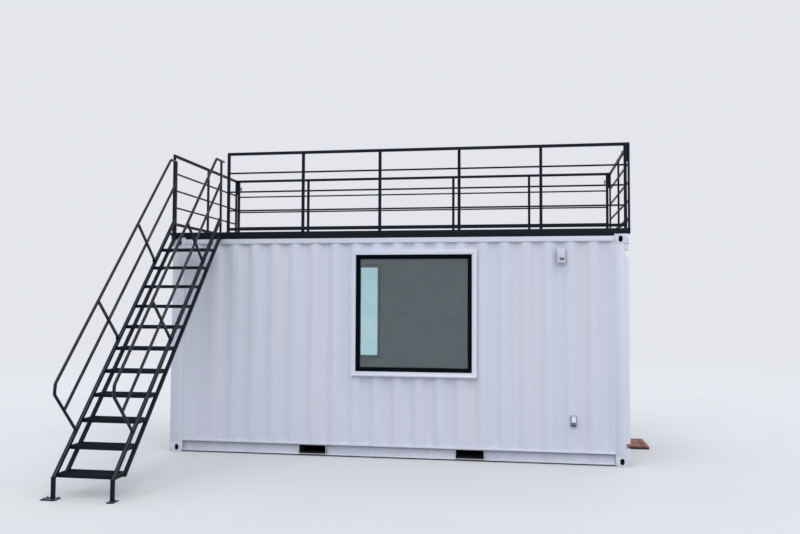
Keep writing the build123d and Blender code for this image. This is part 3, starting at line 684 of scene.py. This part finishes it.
def bead(gather, start, stop, radius, pitch):
    start, stop = Vector(start), Vector(stop)
    ahead = (stop - start).normalized()
    side = ahead.orthogonal().normalized()
    above = ahead.cross(side)
    count = max(2, round((stop - start).length / pitch))
    before = None
    for k in range(count + 1):
        swell = radius * (1.0 if k % 2 else BEAD_DIP)
        middle = start.lerp(stop, k / count)
        ring = []
        for j in range(BEAD_SIDES):
            turn = 2 * pi * j / BEAD_SIDES
            ring.append(gather.grid.verts.new(middle + swell * (cos(turn) * side + sin(turn) * above)))
        if before:
            for j in range(BEAD_SIDES):
                i = (j + 1) % BEAD_SIDES
                gather.grid.faces.new((before[j], before[i], ring[i], ring[j]))
        else:
            gather.grid.faces.new(list(reversed(ring)))
        before = ring
    gather.grid.faces.new(before)


def bead_loop(gather, corners, radius, pitch):
    for start, stop in zip(corners, corners[1:] + corners[:1]):
        bead(gather, start, stop, radius, pitch)


# Folded sheets' rims, read from their solids
RIM_WITHIN = 0.0005
RIM_STEP = 0.010


def rim_path(node, upper, axis, outward):
    # corners of a folded sheet's lower or upper rim on its outer side, in order along the wall
    along = 1 - axis
    obj = nodes[node]
    points = [obj.matrix_world @ v.co for v in obj.data.vertices]
    level = max(p.z for p in points) if upper else min(p.z for p in points)
    rim = sorted((p for p in points if abs(p.z - level) < RIM_WITHIN), key=lambda p: p[along])
    path, near = [], []
    for point in rim + [None]:
        if near and (point is None or point[along] - near[-1][along] > RIM_STEP):
            path.append(max(near, key=lambda p: p[axis] * outward))
            near = []
        near.append(point)
    return path


def depth_at(path, x):
    # y of a wall's outer side at x, from its rim
    for a, b in zip(path, path[1:]):
        if a.x <= x <= b.x:
            return a.y + (b.y - a.y) * (x - a.x) / (b.x - a.x)
    return path[0].y


# Beads along the folded sheets' rims
SEAM = 0.0032
SEAM_UP = 0.3 * SEAM
SEAM_OUT = 0.2 * SEAM
SEAM_PITCH = 0.014
SEAM_LEAST = 0.005
DOORWAY_LEAST = 0.2


def wall_seams():
    # beads where the folded sheets meet the rails, left out across the doorway
    gather = Mesh()
    for node, axis, outward in (("front_wall", 1, -1), ("back_wall", 1, 1),
                                ("left_end_wall", 0, -1), ("right_end_wall", 0, 1)):
        for upper in (False, True):
            path = rim_path(node, upper, axis, outward)
            lift = UP * (-SEAM_UP if upper else SEAM_UP)
            lift[axis] = SEAM_OUT * outward
            has_doorway = node == "right_end_wall" and not upper
            for a, b in zip(path, path[1:]):
                span = (b - a).length
                if span > SEAM_LEAST and not (has_doorway and span >= DOORWAY_LEAST):
                    bead(gather, a + lift, b + lift, SEAM, SEAM_PITCH)
    gather.as_piece("wall_seams", paint, "white_steel", smooth=True)


# Sealant round the window casings
CASING_W = 0.060
SEALANT = 0.0035
SEALANT_OUT = 0.001
SEALANT_PITCH = 0.03
SEALANT_START = 0.03


def casing_sealant():
    # along the top and the sides of both window casings
    gather = Mesh()
    casing_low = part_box("window_casings")[0]
    low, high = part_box("window_frames")
    side = high.z - low.z
    top = high.z + CASING_W
    for node, x0, outward in (("front_wall", high.x - side, -1), ("back_wall", low.x, 1)):
        path = rim_path(node, True, 1, outward)
        out = SEALANT_OUT * outward
        left, right = x0 - CASING_W, x0 + side + CASING_W
        stops = [left] + [p.x for p in path if left < p.x < right] + [right]
        line = [Vector((x, depth_at(path, x) + out, top + SEALANT_OUT)) for x in stops]
        for a, b in zip(line, line[1:]):
            bead(gather, a, b, SEALANT, SEALANT_PITCH)
        for x, aside in ((left, -SEALANT_OUT), (right, SEALANT_OUT)):
            foot = Vector((x + aside, depth_at(path, x) + out, casing_low.z + SEALANT_START))
            bead(gather, foot, (foot.x, foot.y, top), SEALANT, SEALANT_PITCH)
    gather.as_piece("casing_sealant", sealant_look, "white_steel", smooth=True)


# Welds of the shell's frame
POST_SET = 0.002
POST_W = 0.176
POST_SIDE = 0.107
WELD = 0.0035
END_WELD = WELD * 0.8
END_WELD_START = 0.004
WELD_PITCH = 0.009


def corner_point(x, y, z, right, back):
    # a local point near the left front corner, or the like point at another corner
    long, deep = shell_high.x - shell_low.x, shell_high.y - shell_low.y
    return from_shell(long - x if right else x, deep - y if back else y, z)


def frame_welds():
    # round the feet and heads of the corner posts, and at the ends of the rails
    gather = Mesh()
    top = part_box("top_corner_castings")[1].z
    for z in (CAST_Z, top - CAST_Z):
        for right in (False, True):
            for back in (False, True):
                start = corner_point(POST_SET, POST_SET, z, right, back)
                for x, y in ((POST_W, POST_SET), (POST_SET, POST_SIDE)):
                    bead(gather, start, corner_point(x, y, z, right, back), WELD, WELD_PITCH)
    for node in ("bottom_side_rails", "top_side_rails", "end_sills", "end_headers"):
        low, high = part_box(node)
        for x in (low.x, high.x):
            for y in (low.y, high.y):
                bead(gather, (x, y, low.z + END_WELD_START), (x, y, high.z), END_WELD, WELD_PITCH)
    gather.as_piece("frame_welds", paint, "white_steel", smooth=True)


# Strips and plates that close the gaps at the shell's ends
CLOSER = 0.003
CLOSER_DEEP = 0.016
CLOSER_SHORT = 0.002
STRIP_WELD = 0.0028
STRIP_WELD_OUT = 0.001
STRIP_WELD_SHORT = 0.004
STRIP_WELD_PITCH = 0.012
GUSSET = 0.006
GUSSET_SET = 0.001
GUSSET_GAP = 0.0003
GUSSET_GAP_Z = 0.0005
CLOSER_EDGE = 0.0006


def end_closers():
    # strips that close the door end's wall against the posts' flanges
    gather = Mesh()
    wall_low, wall_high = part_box("right_end_wall")
    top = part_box("right_corner_posts")[1].z
    for y, way in ((wall_low.y, CLOSER), (wall_high.y, -CLOSER)):
        gather.block((wall_high.x + HAIR, y, wall_low.z + CLOSER_SHORT),
                     (wall_high.x + CLOSER_DEEP, y + way, top - CLOSER_SHORT))
        x = wall_high.x + STRIP_WELD_OUT
        bead(gather, (x, y + way, wall_low.z + STRIP_WELD_SHORT), (x, y + way, top - STRIP_WELD_SHORT),
             STRIP_WELD, STRIP_WELD_PITCH)
    # plates between the posts' feet and the sills' ends, over the bottom castings
    low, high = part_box("end_sills")
    for x in (low.x + GUSSET_SET, high.x - GUSSET_SET - GUSSET):
        for y0, y1 in ((wall_low.y, low.y), (high.y, wall_high.y)):
            gather.block((x, y0 + GUSSET_GAP, CAST_Z + GUSSET_GAP_Z),
                         (x + GUSSET, y1 - GUSSET_GAP, high.z - GUSSET_GAP_Z))
    rounded(gather.as_piece("end_closers", paint, "white_steel"), CLOSER_EDGE, 1, angle=60)


# Railings: tube sizes, bays, and the middle bars' distances below the top
TUBE_W = 0.038
TUBE_T = 0.025
MID_TUBE = 0.020
LONG_BAYS = 5
END_BAYS = 2
LONG_DROPS = (0.282, 0.538, 0.793)
END_DROPS = (0.260, 0.496, 0.732)
LOW_RISES = {LONG_BAYS: 0.040, END_BAYS: 0.122}
FOOT_WELD = 0.0026
FOOT_WELD_UP = 0.001
FOOT_PITCH = 0.007
JOINT_WELD = 0.0020
JOINT_PITCH = 0.006
CLEAT_LONG = 0.058
CLEAT_TALL = 0.046
CLEAT_T = 0.005
CLEAT_BOLT = 0.008
CLEAT_BOLT_SHARE = 0.66


def foot_cleat(gather, start, along, across):
    # a bolted angle that starts at an upright's foot and runs along from it
    side = across * TUBE_T
    gather.block(start, start + along * CLEAT_LONG + side + UP * CLEAT_T)
    gather.block(start, start + along * CLEAT_T + side + UP * CLEAT_TALL)
    gather.bolt(start + along * (CLEAT_LONG * CLEAT_BOLT_SHARE) + side / 2 + UP * CLEAT_T, UP, CLEAT_BOLT)


def upright_welds(gather, foot, along, across, foot_z, levels, faces):
    # round an upright's foot, and round each bar where it meets the upright's faces
    ring = [foot, foot + along * TUBE_W, foot + along * TUBE_W + across * TUBE_T, foot + across * TUBE_T]
    bead_loop(gather, [p + UP * foot_z for p in ring], FOOT_WELD, FOOT_PITCH)
    for z, tall, thick in levels:
        for face in faces:
            mid = foot + along * face + across * (TUBE_T / 2) + UP * z
            a, b = across * (thick / 2), UP * (tall / 2)
            bead_loop(gather, [mid - a - b, mid + a - b, mid + a + b, mid - a + b], JOINT_WELD, JOINT_PITCH)


def railing_details():
    # beads at the feet and joints of the panels, and a cleat at each upright of the end panels
    welds, cleats = Mesh(), Mesh()
    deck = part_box("deck_boards")[1].z
    for node, bays, drops in (("front_railing", LONG_BAYS, LONG_DROPS),
                              ("back_railing", LONG_BAYS, LONG_DROPS),
                              ("left_railing", END_BAYS, END_DROPS),
                              ("right_railing", END_BAYS, END_DROPS)):
        low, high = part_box(node)
        axis = 0 if bays == LONG_BAYS else 1
        along, across = Vector((1, 0, 0)), Vector((0, 1, 0))
        if axis == 1:
            along, across = across, along
        step = (high[axis] - low[axis] - TUBE_W) / bays
        levels = [(high.z - drop, MID_TUBE, MID_TUBE) for drop in drops]
        levels.append((deck + LOW_RISES[bays], TUBE_W, TUBE_T))
        for k in range(bays + 1):
            foot = Vector((low.x, low.y, 0)) + along * (k * step)
            faces = ([] if k == 0 else [0.0]) + ([] if k == bays else [TUBE_W])
            upright_welds(welds, foot, along, across, low.z + FOOT_WELD_UP, levels, faces)
            if axis == 1 and k == 0:
                foot_cleat(cleats, foot + along * TUBE_W + UP * low.z, along, across)
            elif axis == 1:
                foot_cleat(cleats, foot + UP * low.z, -along, across)
    welds.as_piece("railing_welds", coat_edge, "black_steel", smooth=True)
    rounded(cleats.as_piece("railing_cleats", coat, "black_steel"), TINY_EDGE, 1)


# Deck: screws in the boards, the joint in each side beam and an angle along the left end
BOARD_COUNT = 10
BOARD_GAP = 0.006
SCREW_ROWS = 9
SCREW_IN_X = 0.022
SCREW_IN_Y = 0.04
SCREW_SUNK = 0.001
SCREW_HEAD = 0.0008
SCREW_R = 0.0045
BEAM_JOINT = 1.855
BEAM_WELD = 0.003
BEAM_PITCH = 0.007
ANGLE_OUT = 0.0234
ANGLE_DROP = 0.036
ANGLE_T = 0.004
ANGLE_GAP = 0.0003
ANGLE_EDGE = 0.0012


def deck_screws():
    screws = Mesh()
    low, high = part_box("deck_boards")
    span = (high.x - low.x - (BOARD_COUNT - 1) * BOARD_GAP) / BOARD_COUNT
    for k in range(BOARD_COUNT):
        x0 = low.x + k * (span + BOARD_GAP)
        for x in (x0 + SCREW_IN_X, x0 + span / 2, x0 + span - SCREW_IN_X):
            for j in range(SCREW_ROWS):
                y = low.y + SCREW_IN_Y + (high.y - low.y - 2 * SCREW_IN_Y) * j / (SCREW_ROWS - 1)
                screws.rod((x, y, high.z - SCREW_SUNK), (x, y, high.z + SCREW_HEAD), SCREW_R, 10)
    screws.as_piece("deck_screws", zinc, "deck_board")


def beam_details():
    low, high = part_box("deck_side_beams")
    joints = Mesh()
    x = shell_low.x + BEAM_JOINT
    for y in (low.y, high.y):
        bead(joints, (x, y, low.z), (x, y, high.z), BEAM_WELD, BEAM_PITCH)
    joints.as_piece("beam_joints", coat_edge, "black_steel", smooth=True)
    angle = Mesh()
    x = low.x - ANGLE_OUT
    angle.block((x, low.y, high.z - ANGLE_T), (low.x - ANGLE_GAP, high.y, high.z))
    angle.block((x, low.y, high.z - ANGLE_DROP), (x + ANGLE_T, high.y, high.z - ANGLE_T))
    rounded(angle.as_piece("deck_edge_angle", coat, "black_steel"), ANGLE_EDGE)


# Stair, in local metres: the stringers' middle lines, their upper chord's slope and its height at y = 0
STAIR_LEFT = 0.028
STAIR_RIGHT = 0.678
CHORD = 0.035
CHORD_SLOPE = 0.9363
CHORD_APART = 0.228
CHORD_MEETS = 3.1507
LINK_T = 0.010
LINK_BOLT = 0.0075
LINK_BOLT_SHARES = (0.28, 0.74)
SLANT_FEET = (-0.575, -1.475)
# a bracket's corners and bolts, along the chord and square to it
BRACKET = ((-0.034, -0.015), (0.034, -0.015), (0.016, 0.046), (-0.016, 0.046))
BRACKET_BOLTS = ((-0.020, 0.0), (0.020, 0.0), (0.0, 0.034))
BRACKET_T = 0.004
BRACKET_BOLT = 0.005
HEAD_HALF = 0.050
HEAD_T = 0.006
HEAD_GAP = 0.0003
HEAD_SHORT = 0.004
HEAD_BOLT = 0.006
HEAD_BOLT_X = 0.038
HEAD_BOLT_Z = 0.013
FOOT_T = 0.010
FOOT_BOLT = 0.008
STUD_R = 0.004
STUD_UP = 0.016
# the left foot plate's studs: in from its edge, beside the stringer's middle line, and out along y
LEFT_STUDS = (0.028, 0.036, 0.036)
RIGHT_STUD_Y = 0.042
STAIR_WELD = 0.003
STAIR_WELD_UP = 0.001


def chord_y(z):
    return CHORD_SLOPE * (z - CHORD_MEETS)


def chord_z(y):
    return y / CHORD_SLOPE + CHORD_MEETS


def tread_bolts(bolts, x_mid, way):
    # two at each tread's end, through the links between the stringer's chords
    low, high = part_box("stair_treads")
    rise = (high.z - low.z - TREAD_DROP) / (TREAD_COUNT - 1)
    for k in range(TREAD_COUNT):
        z = low.z + TREAD_DROP / 2 + k * rise
        for share in LINK_BOLT_SHARES:
            at = from_shell(x_mid + way * LINK_T / 2, chord_y(z) + CHORD_APART * share, z)
            bolts.bolt(at, (way, 0, 0), LINK_BOLT)


def slant_brackets(plates, bolts, face, way):
    # a bolted plate at the foot of each slanted post of the handrail
    slope = Vector((0, CHORD_SLOPE, 1)).normalized()
    square = Vector((0, -slope.z, slope.y))
    for y in SLANT_FEET:
        def at(along, up, out):
            point = Vector((0, y, chord_z(y))) + slope * along + square * up
            return from_shell(face + out, point.y, point.z)

        plates.prism([at(*corner, 0.0) for corner in BRACKET], (way * BRACKET_T, 0, 0))
        for place in BRACKET_BOLTS:
            bolts.bolt(at(*place, way * BRACKET_T), (way, 0, 0), BRACKET_BOLT)


def head_plate(plates, bolts, x_mid):
    # a bolted plate on the deck's beam behind a stringer's head
    low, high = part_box("deck_side_beams")
    z0, z1 = low.z + HEAD_SHORT, high.z - HEAD_SHORT
    plates.block(from_shell(x_mid - HEAD_HALF, -HEAD_T, z0), from_shell(x_mid + HEAD_HALF, -HEAD_GAP, z1))
    for aside in (-HEAD_BOLT_X, HEAD_BOLT_X):
        for z in (z0 + HEAD_BOLT_Z, z1 - HEAD_BOLT_Z):
            bolts.bolt(from_shell(x_mid + aside, -HEAD_T, z), (0, -1, 0), HEAD_BOLT)


def foot_fixings(plates, bolts):
    # nuts on studs in the foot plates, and a bead round each stringer's foot
    low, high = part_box("stair_feet")
    y_mid = (low.y + high.y) / 2
    left, right = shell_low.x + STAIR_LEFT, shell_low.x + STAIR_RIGHT
    from_edge, from_middle, in_y = LEFT_STUDS
    places = [(x, y_mid + y) for x in (low.x + from_edge, left + from_middle) for y in (-in_y, in_y)]
    places += [(right, y_mid + y) for y in (-RIGHT_STUD_Y, RIGHT_STUD_Y)]
    for x, y in places:
        bolts.bolt((x, y, FOOT_T), UP, FOOT_BOLT)
        bolts.rod((x, y, FOOT_T), (x, y, FOOT_T + STUD_UP), STUD_R, 12)
    half, z = CHORD / 2, FOOT_T + STAIR_WELD_UP
    for x in (left, right):
        corners = ((x - half, y_mid - half, z), (x + half, y_mid - half, z),
                   (x + half, y_mid + half, z), (x - half, y_mid + half, z))
        bead_loop(plates, corners, STAIR_WELD, FOOT_PITCH)


def stair_details():
    plates, bolts = Mesh(), Mesh()
    for x_mid, way in ((STAIR_LEFT, -1), (STAIR_RIGHT, 1)):
        tread_bolts(bolts, x_mid, way)
        slant_brackets(plates, bolts, x_mid + way * CHORD / 2, way)
        head_plate(plates, bolts, x_mid)
    foot_fixings(plates, bolts)
    rounded(plates.as_piece("stair_brackets", coat, "black_steel"), TINY_EDGE, 1, angle=60)
    bolts.as_piece("stair_bolts", bolt_black, "black_steel")


# Door: places are measured from the leaf's edges and its outer face
HINGE_SHARES = (0.22, 0.50, 0.86)
HINGE_R = 0.008
HINGE_LONG = 0.110
BARREL_OUT = HINGE_R * 0.8
BARREL_ASIDE = 0.002
CAP_LONG = 0.004
CAP_R = HINGE_R * 0.7
WING_W = 0.034
WING_T = 0.003
WING_SCREW = (0.022, 0.036, 0.0012, 0.004)
LOCK_Y = 0.026
LOCK_DROP = 0.075
LOCK_R = 0.017
LOCK_OUT = 0.006
KEYHOLE = (0.0005, 0.0012, 0.005)
SEAL_W = 0.0026
SEAL_BACK, SEAL_FRONT = 0.012, 0.004
SILL_BACK, SILL_FRONT = 0.040, 0.012
SILL_LOW, SILL_HIGH = 0.0028, 0.0004
FITTING_EDGE = 0.0006


def hinge(steel, face, edge, z):
    # a barrel with end caps, and a wing with three screws on the leaf
    x, y = face + BARREL_OUT, edge + BARREL_ASIDE
    half = HINGE_LONG / 2
    steel.rod((x, y, z - half), (x, y, z + half), HINGE_R, 20)
    for way in (-1, 1):
        steel.rod((x, y, z + way * half), (x, y, z + way * (half + CAP_LONG)), CAP_R, 16)
    steel.block((face, y - WING_W, z - half), (face + WING_T, y, z + half))
    back, apart, head, radius = WING_SCREW
    for rise in (-apart, 0.0, apart):
        steel.rod((face + WING_T, y - back, z + rise), (face + WING_T + head, y - back, z + rise), radius, 12)


def door_details():
    # hinges, lock cylinder, seal and threshold strip
    low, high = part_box("door_leaf")
    handle_low, handle_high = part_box("door_handle")
    steel, black = Mesh(), Mesh()
    face = high.x
    for share in HINGE_SHARES:
        hinge(steel, face, high.y, low.z + (high.z - low.z) * share)
    lock_y = handle_low.y + LOCK_Y
    lock_z = (handle_low.z + handle_high.z) / 2 - LOCK_DROP
    lock_x = face + LOCK_OUT
    steel.rod((face, lock_y, lock_z), (lock_x, lock_y, lock_z), LOCK_R, 28)
    out, half_y, half_z = KEYHOLE
    black.block((lock_x, lock_y - half_y, lock_z - half_z), (lock_x + out, lock_y + half_y, lock_z + half_z))
    x0, x1 = face - SEAL_BACK, face - SEAL_FRONT
    black.block((x0, low.y - SEAL_W, low.z), (x1, low.y, high.z))
    black.block((x0, high.y, low.z), (x1, high.y + SEAL_W, high.z))
    black.block((x0, low.y - SEAL_W, high.z), (x1, high.y + SEAL_W, high.z + SEAL_W))
    steel.block((face - SILL_BACK, low.y, low.z - SILL_LOW), (face + SILL_FRONT, high.y, low.z - SILL_HIGH))
    rounded(steel.as_piece("door_fittings", metal, "handle_metal"), FITTING_EDGE, 1, angle=60)
    black.as_piece("door_seal", seal, "handle_metal")


# Outlet box and step: the box's upper part juts out by OUTLET_STEP over its lower part
OUTLET_STEP = 0.022
LID_W = 0.052
LID_H = 0.066
LID_T = 0.003
LID_DROP = 0.012
LID_EDGE = 0.0010
LID_HINGE = (0.001, 0.008, 0.0035)
SLOT_W = 0.056
SLOT_H = 0.015
SLOT_T = 0.0015
SLOT_UP = 0.004
BOX_SCREW = (0.010, 0.030, 0.003)
STEP_SCREWS_LEFT = (0.035, 0.285, 0.352)
STEP_SCREW_RIGHT = 0.022
STEP_SCREW_IN = 0.036
STEP_SCREW_HEAD = 0.0006


def fitting_details():
    low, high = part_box("outlet_box")
    x_mid = (low.x + high.x) / 2
    slot, screws, lid = Mesh(), Mesh(), Mesh()
    x0, x1 = x_mid - LID_W / 2, x_mid + LID_W / 2
    lid.block((x0, low.y - LID_T, high.z - LID_DROP - LID_H), (x1, low.y - HAIR, high.z - LID_DROP))
    out, drop, radius = LID_HINGE
    lid.rod((x0, low.y - out, high.z - drop), (x1, low.y - out, high.z - drop), radius, 16)
    # a thin dark rubber strip low on the box's face: the plug gland, with the shade in its opening painted in
    face = low.y + OUTLET_STEP
    z = low.z + SLOT_UP
    slot.block((x_mid - SLOT_W / 2, face - SLOT_T, z), (x_mid + SLOT_W / 2, face - HAIR, z + SLOT_H))
    aside, rise, radius = BOX_SCREW
    for x in (low.x + aside, high.x - aside):
        screws.rod((x, face + SCREW_SUNK, low.z + rise), (x, face - SLOT_T, low.z + rise), radius, 12)
    low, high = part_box("door_step")
    for x in [low.x + along for along in STEP_SCREWS_LEFT] + [high.x - STEP_SCREW_RIGHT]:
        for y in (low.y + STEP_SCREW_IN, high.y - STEP_SCREW_IN):
            screws.rod((x, y, high.z - SCREW_SUNK), (x, y, high.z + STEP_SCREW_HEAD), SCREW_R, 12)
    slot.as_piece("outlet_gland_shade", seal, "grey_plastic")
    rounded(lid.as_piece("outlet_lid", lid_plastic, "white_plastic"), LID_EDGE)
    screws.as_piece("fitting_screws", zinc, "grey_plastic")


# Camera of the photograph: place in local metres, turns in radians, lens on a 36 mm sensor
CAMERA_FROM_SHELL = (4.82743, -10.38618, 2.01061)
YAW = 0.15958
PITCH = 0.04516
ROLL = 0.00411
CAMERA_LENS = 36.246
CAMERA_SENSOR = 36.0
CAMERA_REACH = 400.0


def make_camera():
    data = bpy.data.cameras.new("photo_view")
    data.sensor_fit = "HORIZONTAL"
    data.sensor_width = CAMERA_SENSOR
    data.lens = CAMERA_LENS
    data.clip_end = CAMERA_REACH
    camera = bpy.data.objects.new("photo_view", data)
    bpy.context.scene.collection.objects.link(camera)
    level = cos(PITCH)
    ahead = Vector((-sin(YAW) * level, cos(YAW) * level, sin(PITCH)))
    side = Vector((cos(YAW), sin(YAW), 0))
    above = side.cross(ahead)
    right = side * cos(ROLL) + above * sin(ROLL)
    up = above * cos(ROLL) - side * sin(ROLL)
    turn = Matrix((right, up, -ahead)).transposed().to_4x4()
    camera.matrix_world = Matrix.Translation(from_shell(*CAMERA_FROM_SHELL)) @ turn
    bpy.context.scene.camera = camera


# Floor, backdrop and lights
SEEN = srgb(228, 230, 235)
LIT = srgb(247, 250, 255)
LIT_STRENGTH = 1.03
FLOOR_FADE = (9.0, 26.0)
FLOOR_R = 90.0
FLOOR_Z = -0.001


def shown(tree):
    # 1 for the rays by which a camera, a mirror or a pane shows a thing
    path = tree.nodes.new("ShaderNodeLightPath")
    share = path.outputs["Is Camera Ray"]
    for name in ("Is Glossy Ray", "Is Transmission Ray"):
        add = tree.nodes.new("ShaderNodeMath")
        add.operation = "ADD"
        add.use_clamp = True
        tree.links.new(share, add.inputs[0])
        tree.links.new(path.outputs[name], add.inputs[1])
        share = add.outputs[0]
    return share


def blend(tree, share, first, second):
    node = tree.nodes.new("ShaderNodeMixShader")
    tree.links.new(share, node.inputs[0])
    tree.links.new(first.outputs[0], node.inputs[1])
    tree.links.new(second.outputs[0], node.inputs[2])
    return node


def matt(look, one, two):
    return look.add("BsdfDiffuse", {"Color": look.mix(look.remap(look.noise(0.5, 4.0), 0.3, 0.7), one, two)})


def make_floor():
    # shown pale, with its far part as pale as the backdrop, and darker to the light that it throws back
    look = Look("studio_floor")
    near = matt(look, srgb(194, 195, 197), srgb(197, 198, 200))
    dull = matt(look, srgb(150, 150, 152), srgb(156, 156, 158))
    far = look.add("Emission", {"Color": SEEN})
    reach = look.add("VectorMath", {})
    reach.operation = "LENGTH"
    look.fill(reach, {0: look.place})
    fade = look.remap(reach.outputs["Value"], *FLOOR_FADE, smooth=True)
    pale = blend(look.tree, fade, near, far)
    surface = blend(look.tree, shown(look.tree), dull, pale)
    look.fill(look.out, {"Surface": surface.outputs[0]})
    disc = Mesh()
    bmesh.ops.create_circle(disc.grid, cap_ends=True, segments=96, radius=FLOOR_R)
    floor = bpy.data.objects.new("studio_floor", disc.mesh("studio_floor"))
    bpy.context.scene.collection.objects.link(floor)
    floor.data.materials.append(look.mat)
    floor.location.z = FLOOR_Z


def make_world():
    # one tone for what is seen behind the part, another for the light that falls on it
    world = bpy.data.worlds.new("studio")
    bpy.context.scene.world = world
    world.use_nodes = True
    tree = world.node_tree
    tree.nodes.clear()
    out = tree.nodes.new("ShaderNodeOutputWorld")
    skies = []
    for colour, strength in ((LIT, LIT_STRENGTH), (SEEN, 1.0)):
        sky = tree.nodes.new("ShaderNodeBackground")
        sky.inputs["Color"].default_value = colour
        sky.inputs["Strength"].default_value = strength
        skies.append(sky)
    surface = blend(tree, shown(tree), *skies)
    tree.links.new(surface.outputs[0], out.inputs["Surface"])


def soft_sun(name, azimuth, height, strength, spread, tint):
    # angles are in degrees: azimuth is turned from the front wall's normal towards the right end
    data = bpy.data.lights.new(name, "SUN")
    data.energy = strength
    data.angle = radians(spread)
    data.color = tint
    obj = bpy.data.objects.new(name, data)
    bpy.context.scene.collection.objects.link(obj)
    turn, rise = radians(azimuth), radians(height)
    towards = Vector((sin(turn) * cos(rise), -cos(turn) * cos(rise), sin(rise)))
    obj.rotation_euler = towards.to_track_quat("Z", "Y").to_euler()


def make_lights():
    soft_sun("key_light", 8.0, 58.0, 1.35, 70.0, (1.0, 0.99, 0.975))
    soft_sun("side_light", 80.0, 35.0, 0.15, 60.0, (0.97, 0.985, 1.0))
    soft_sun("left_light", -60.0, 25.0, 0.16, 70.0, (0.97, 0.985, 1.0))
    soft_sun("back_light", 190.0, 40.0, 0.40, 60.0, (0.98, 0.99, 1.0))


make_camera()
make_world()
make_lights()
make_floor()
dress_shell()
dress_deck()
dress_stair()
dress_fittings()
finish_plain_nodes()
tread_grating()
window_panes()
window_gaskets()
wall_seams()
casing_sealant()
frame_welds()
end_closers()
railing_details()
deck_screws()
beam_details()
stair_details()
door_details()
fitting_details()

bpy.context.scene.view_settings.view_transform = "Standard"
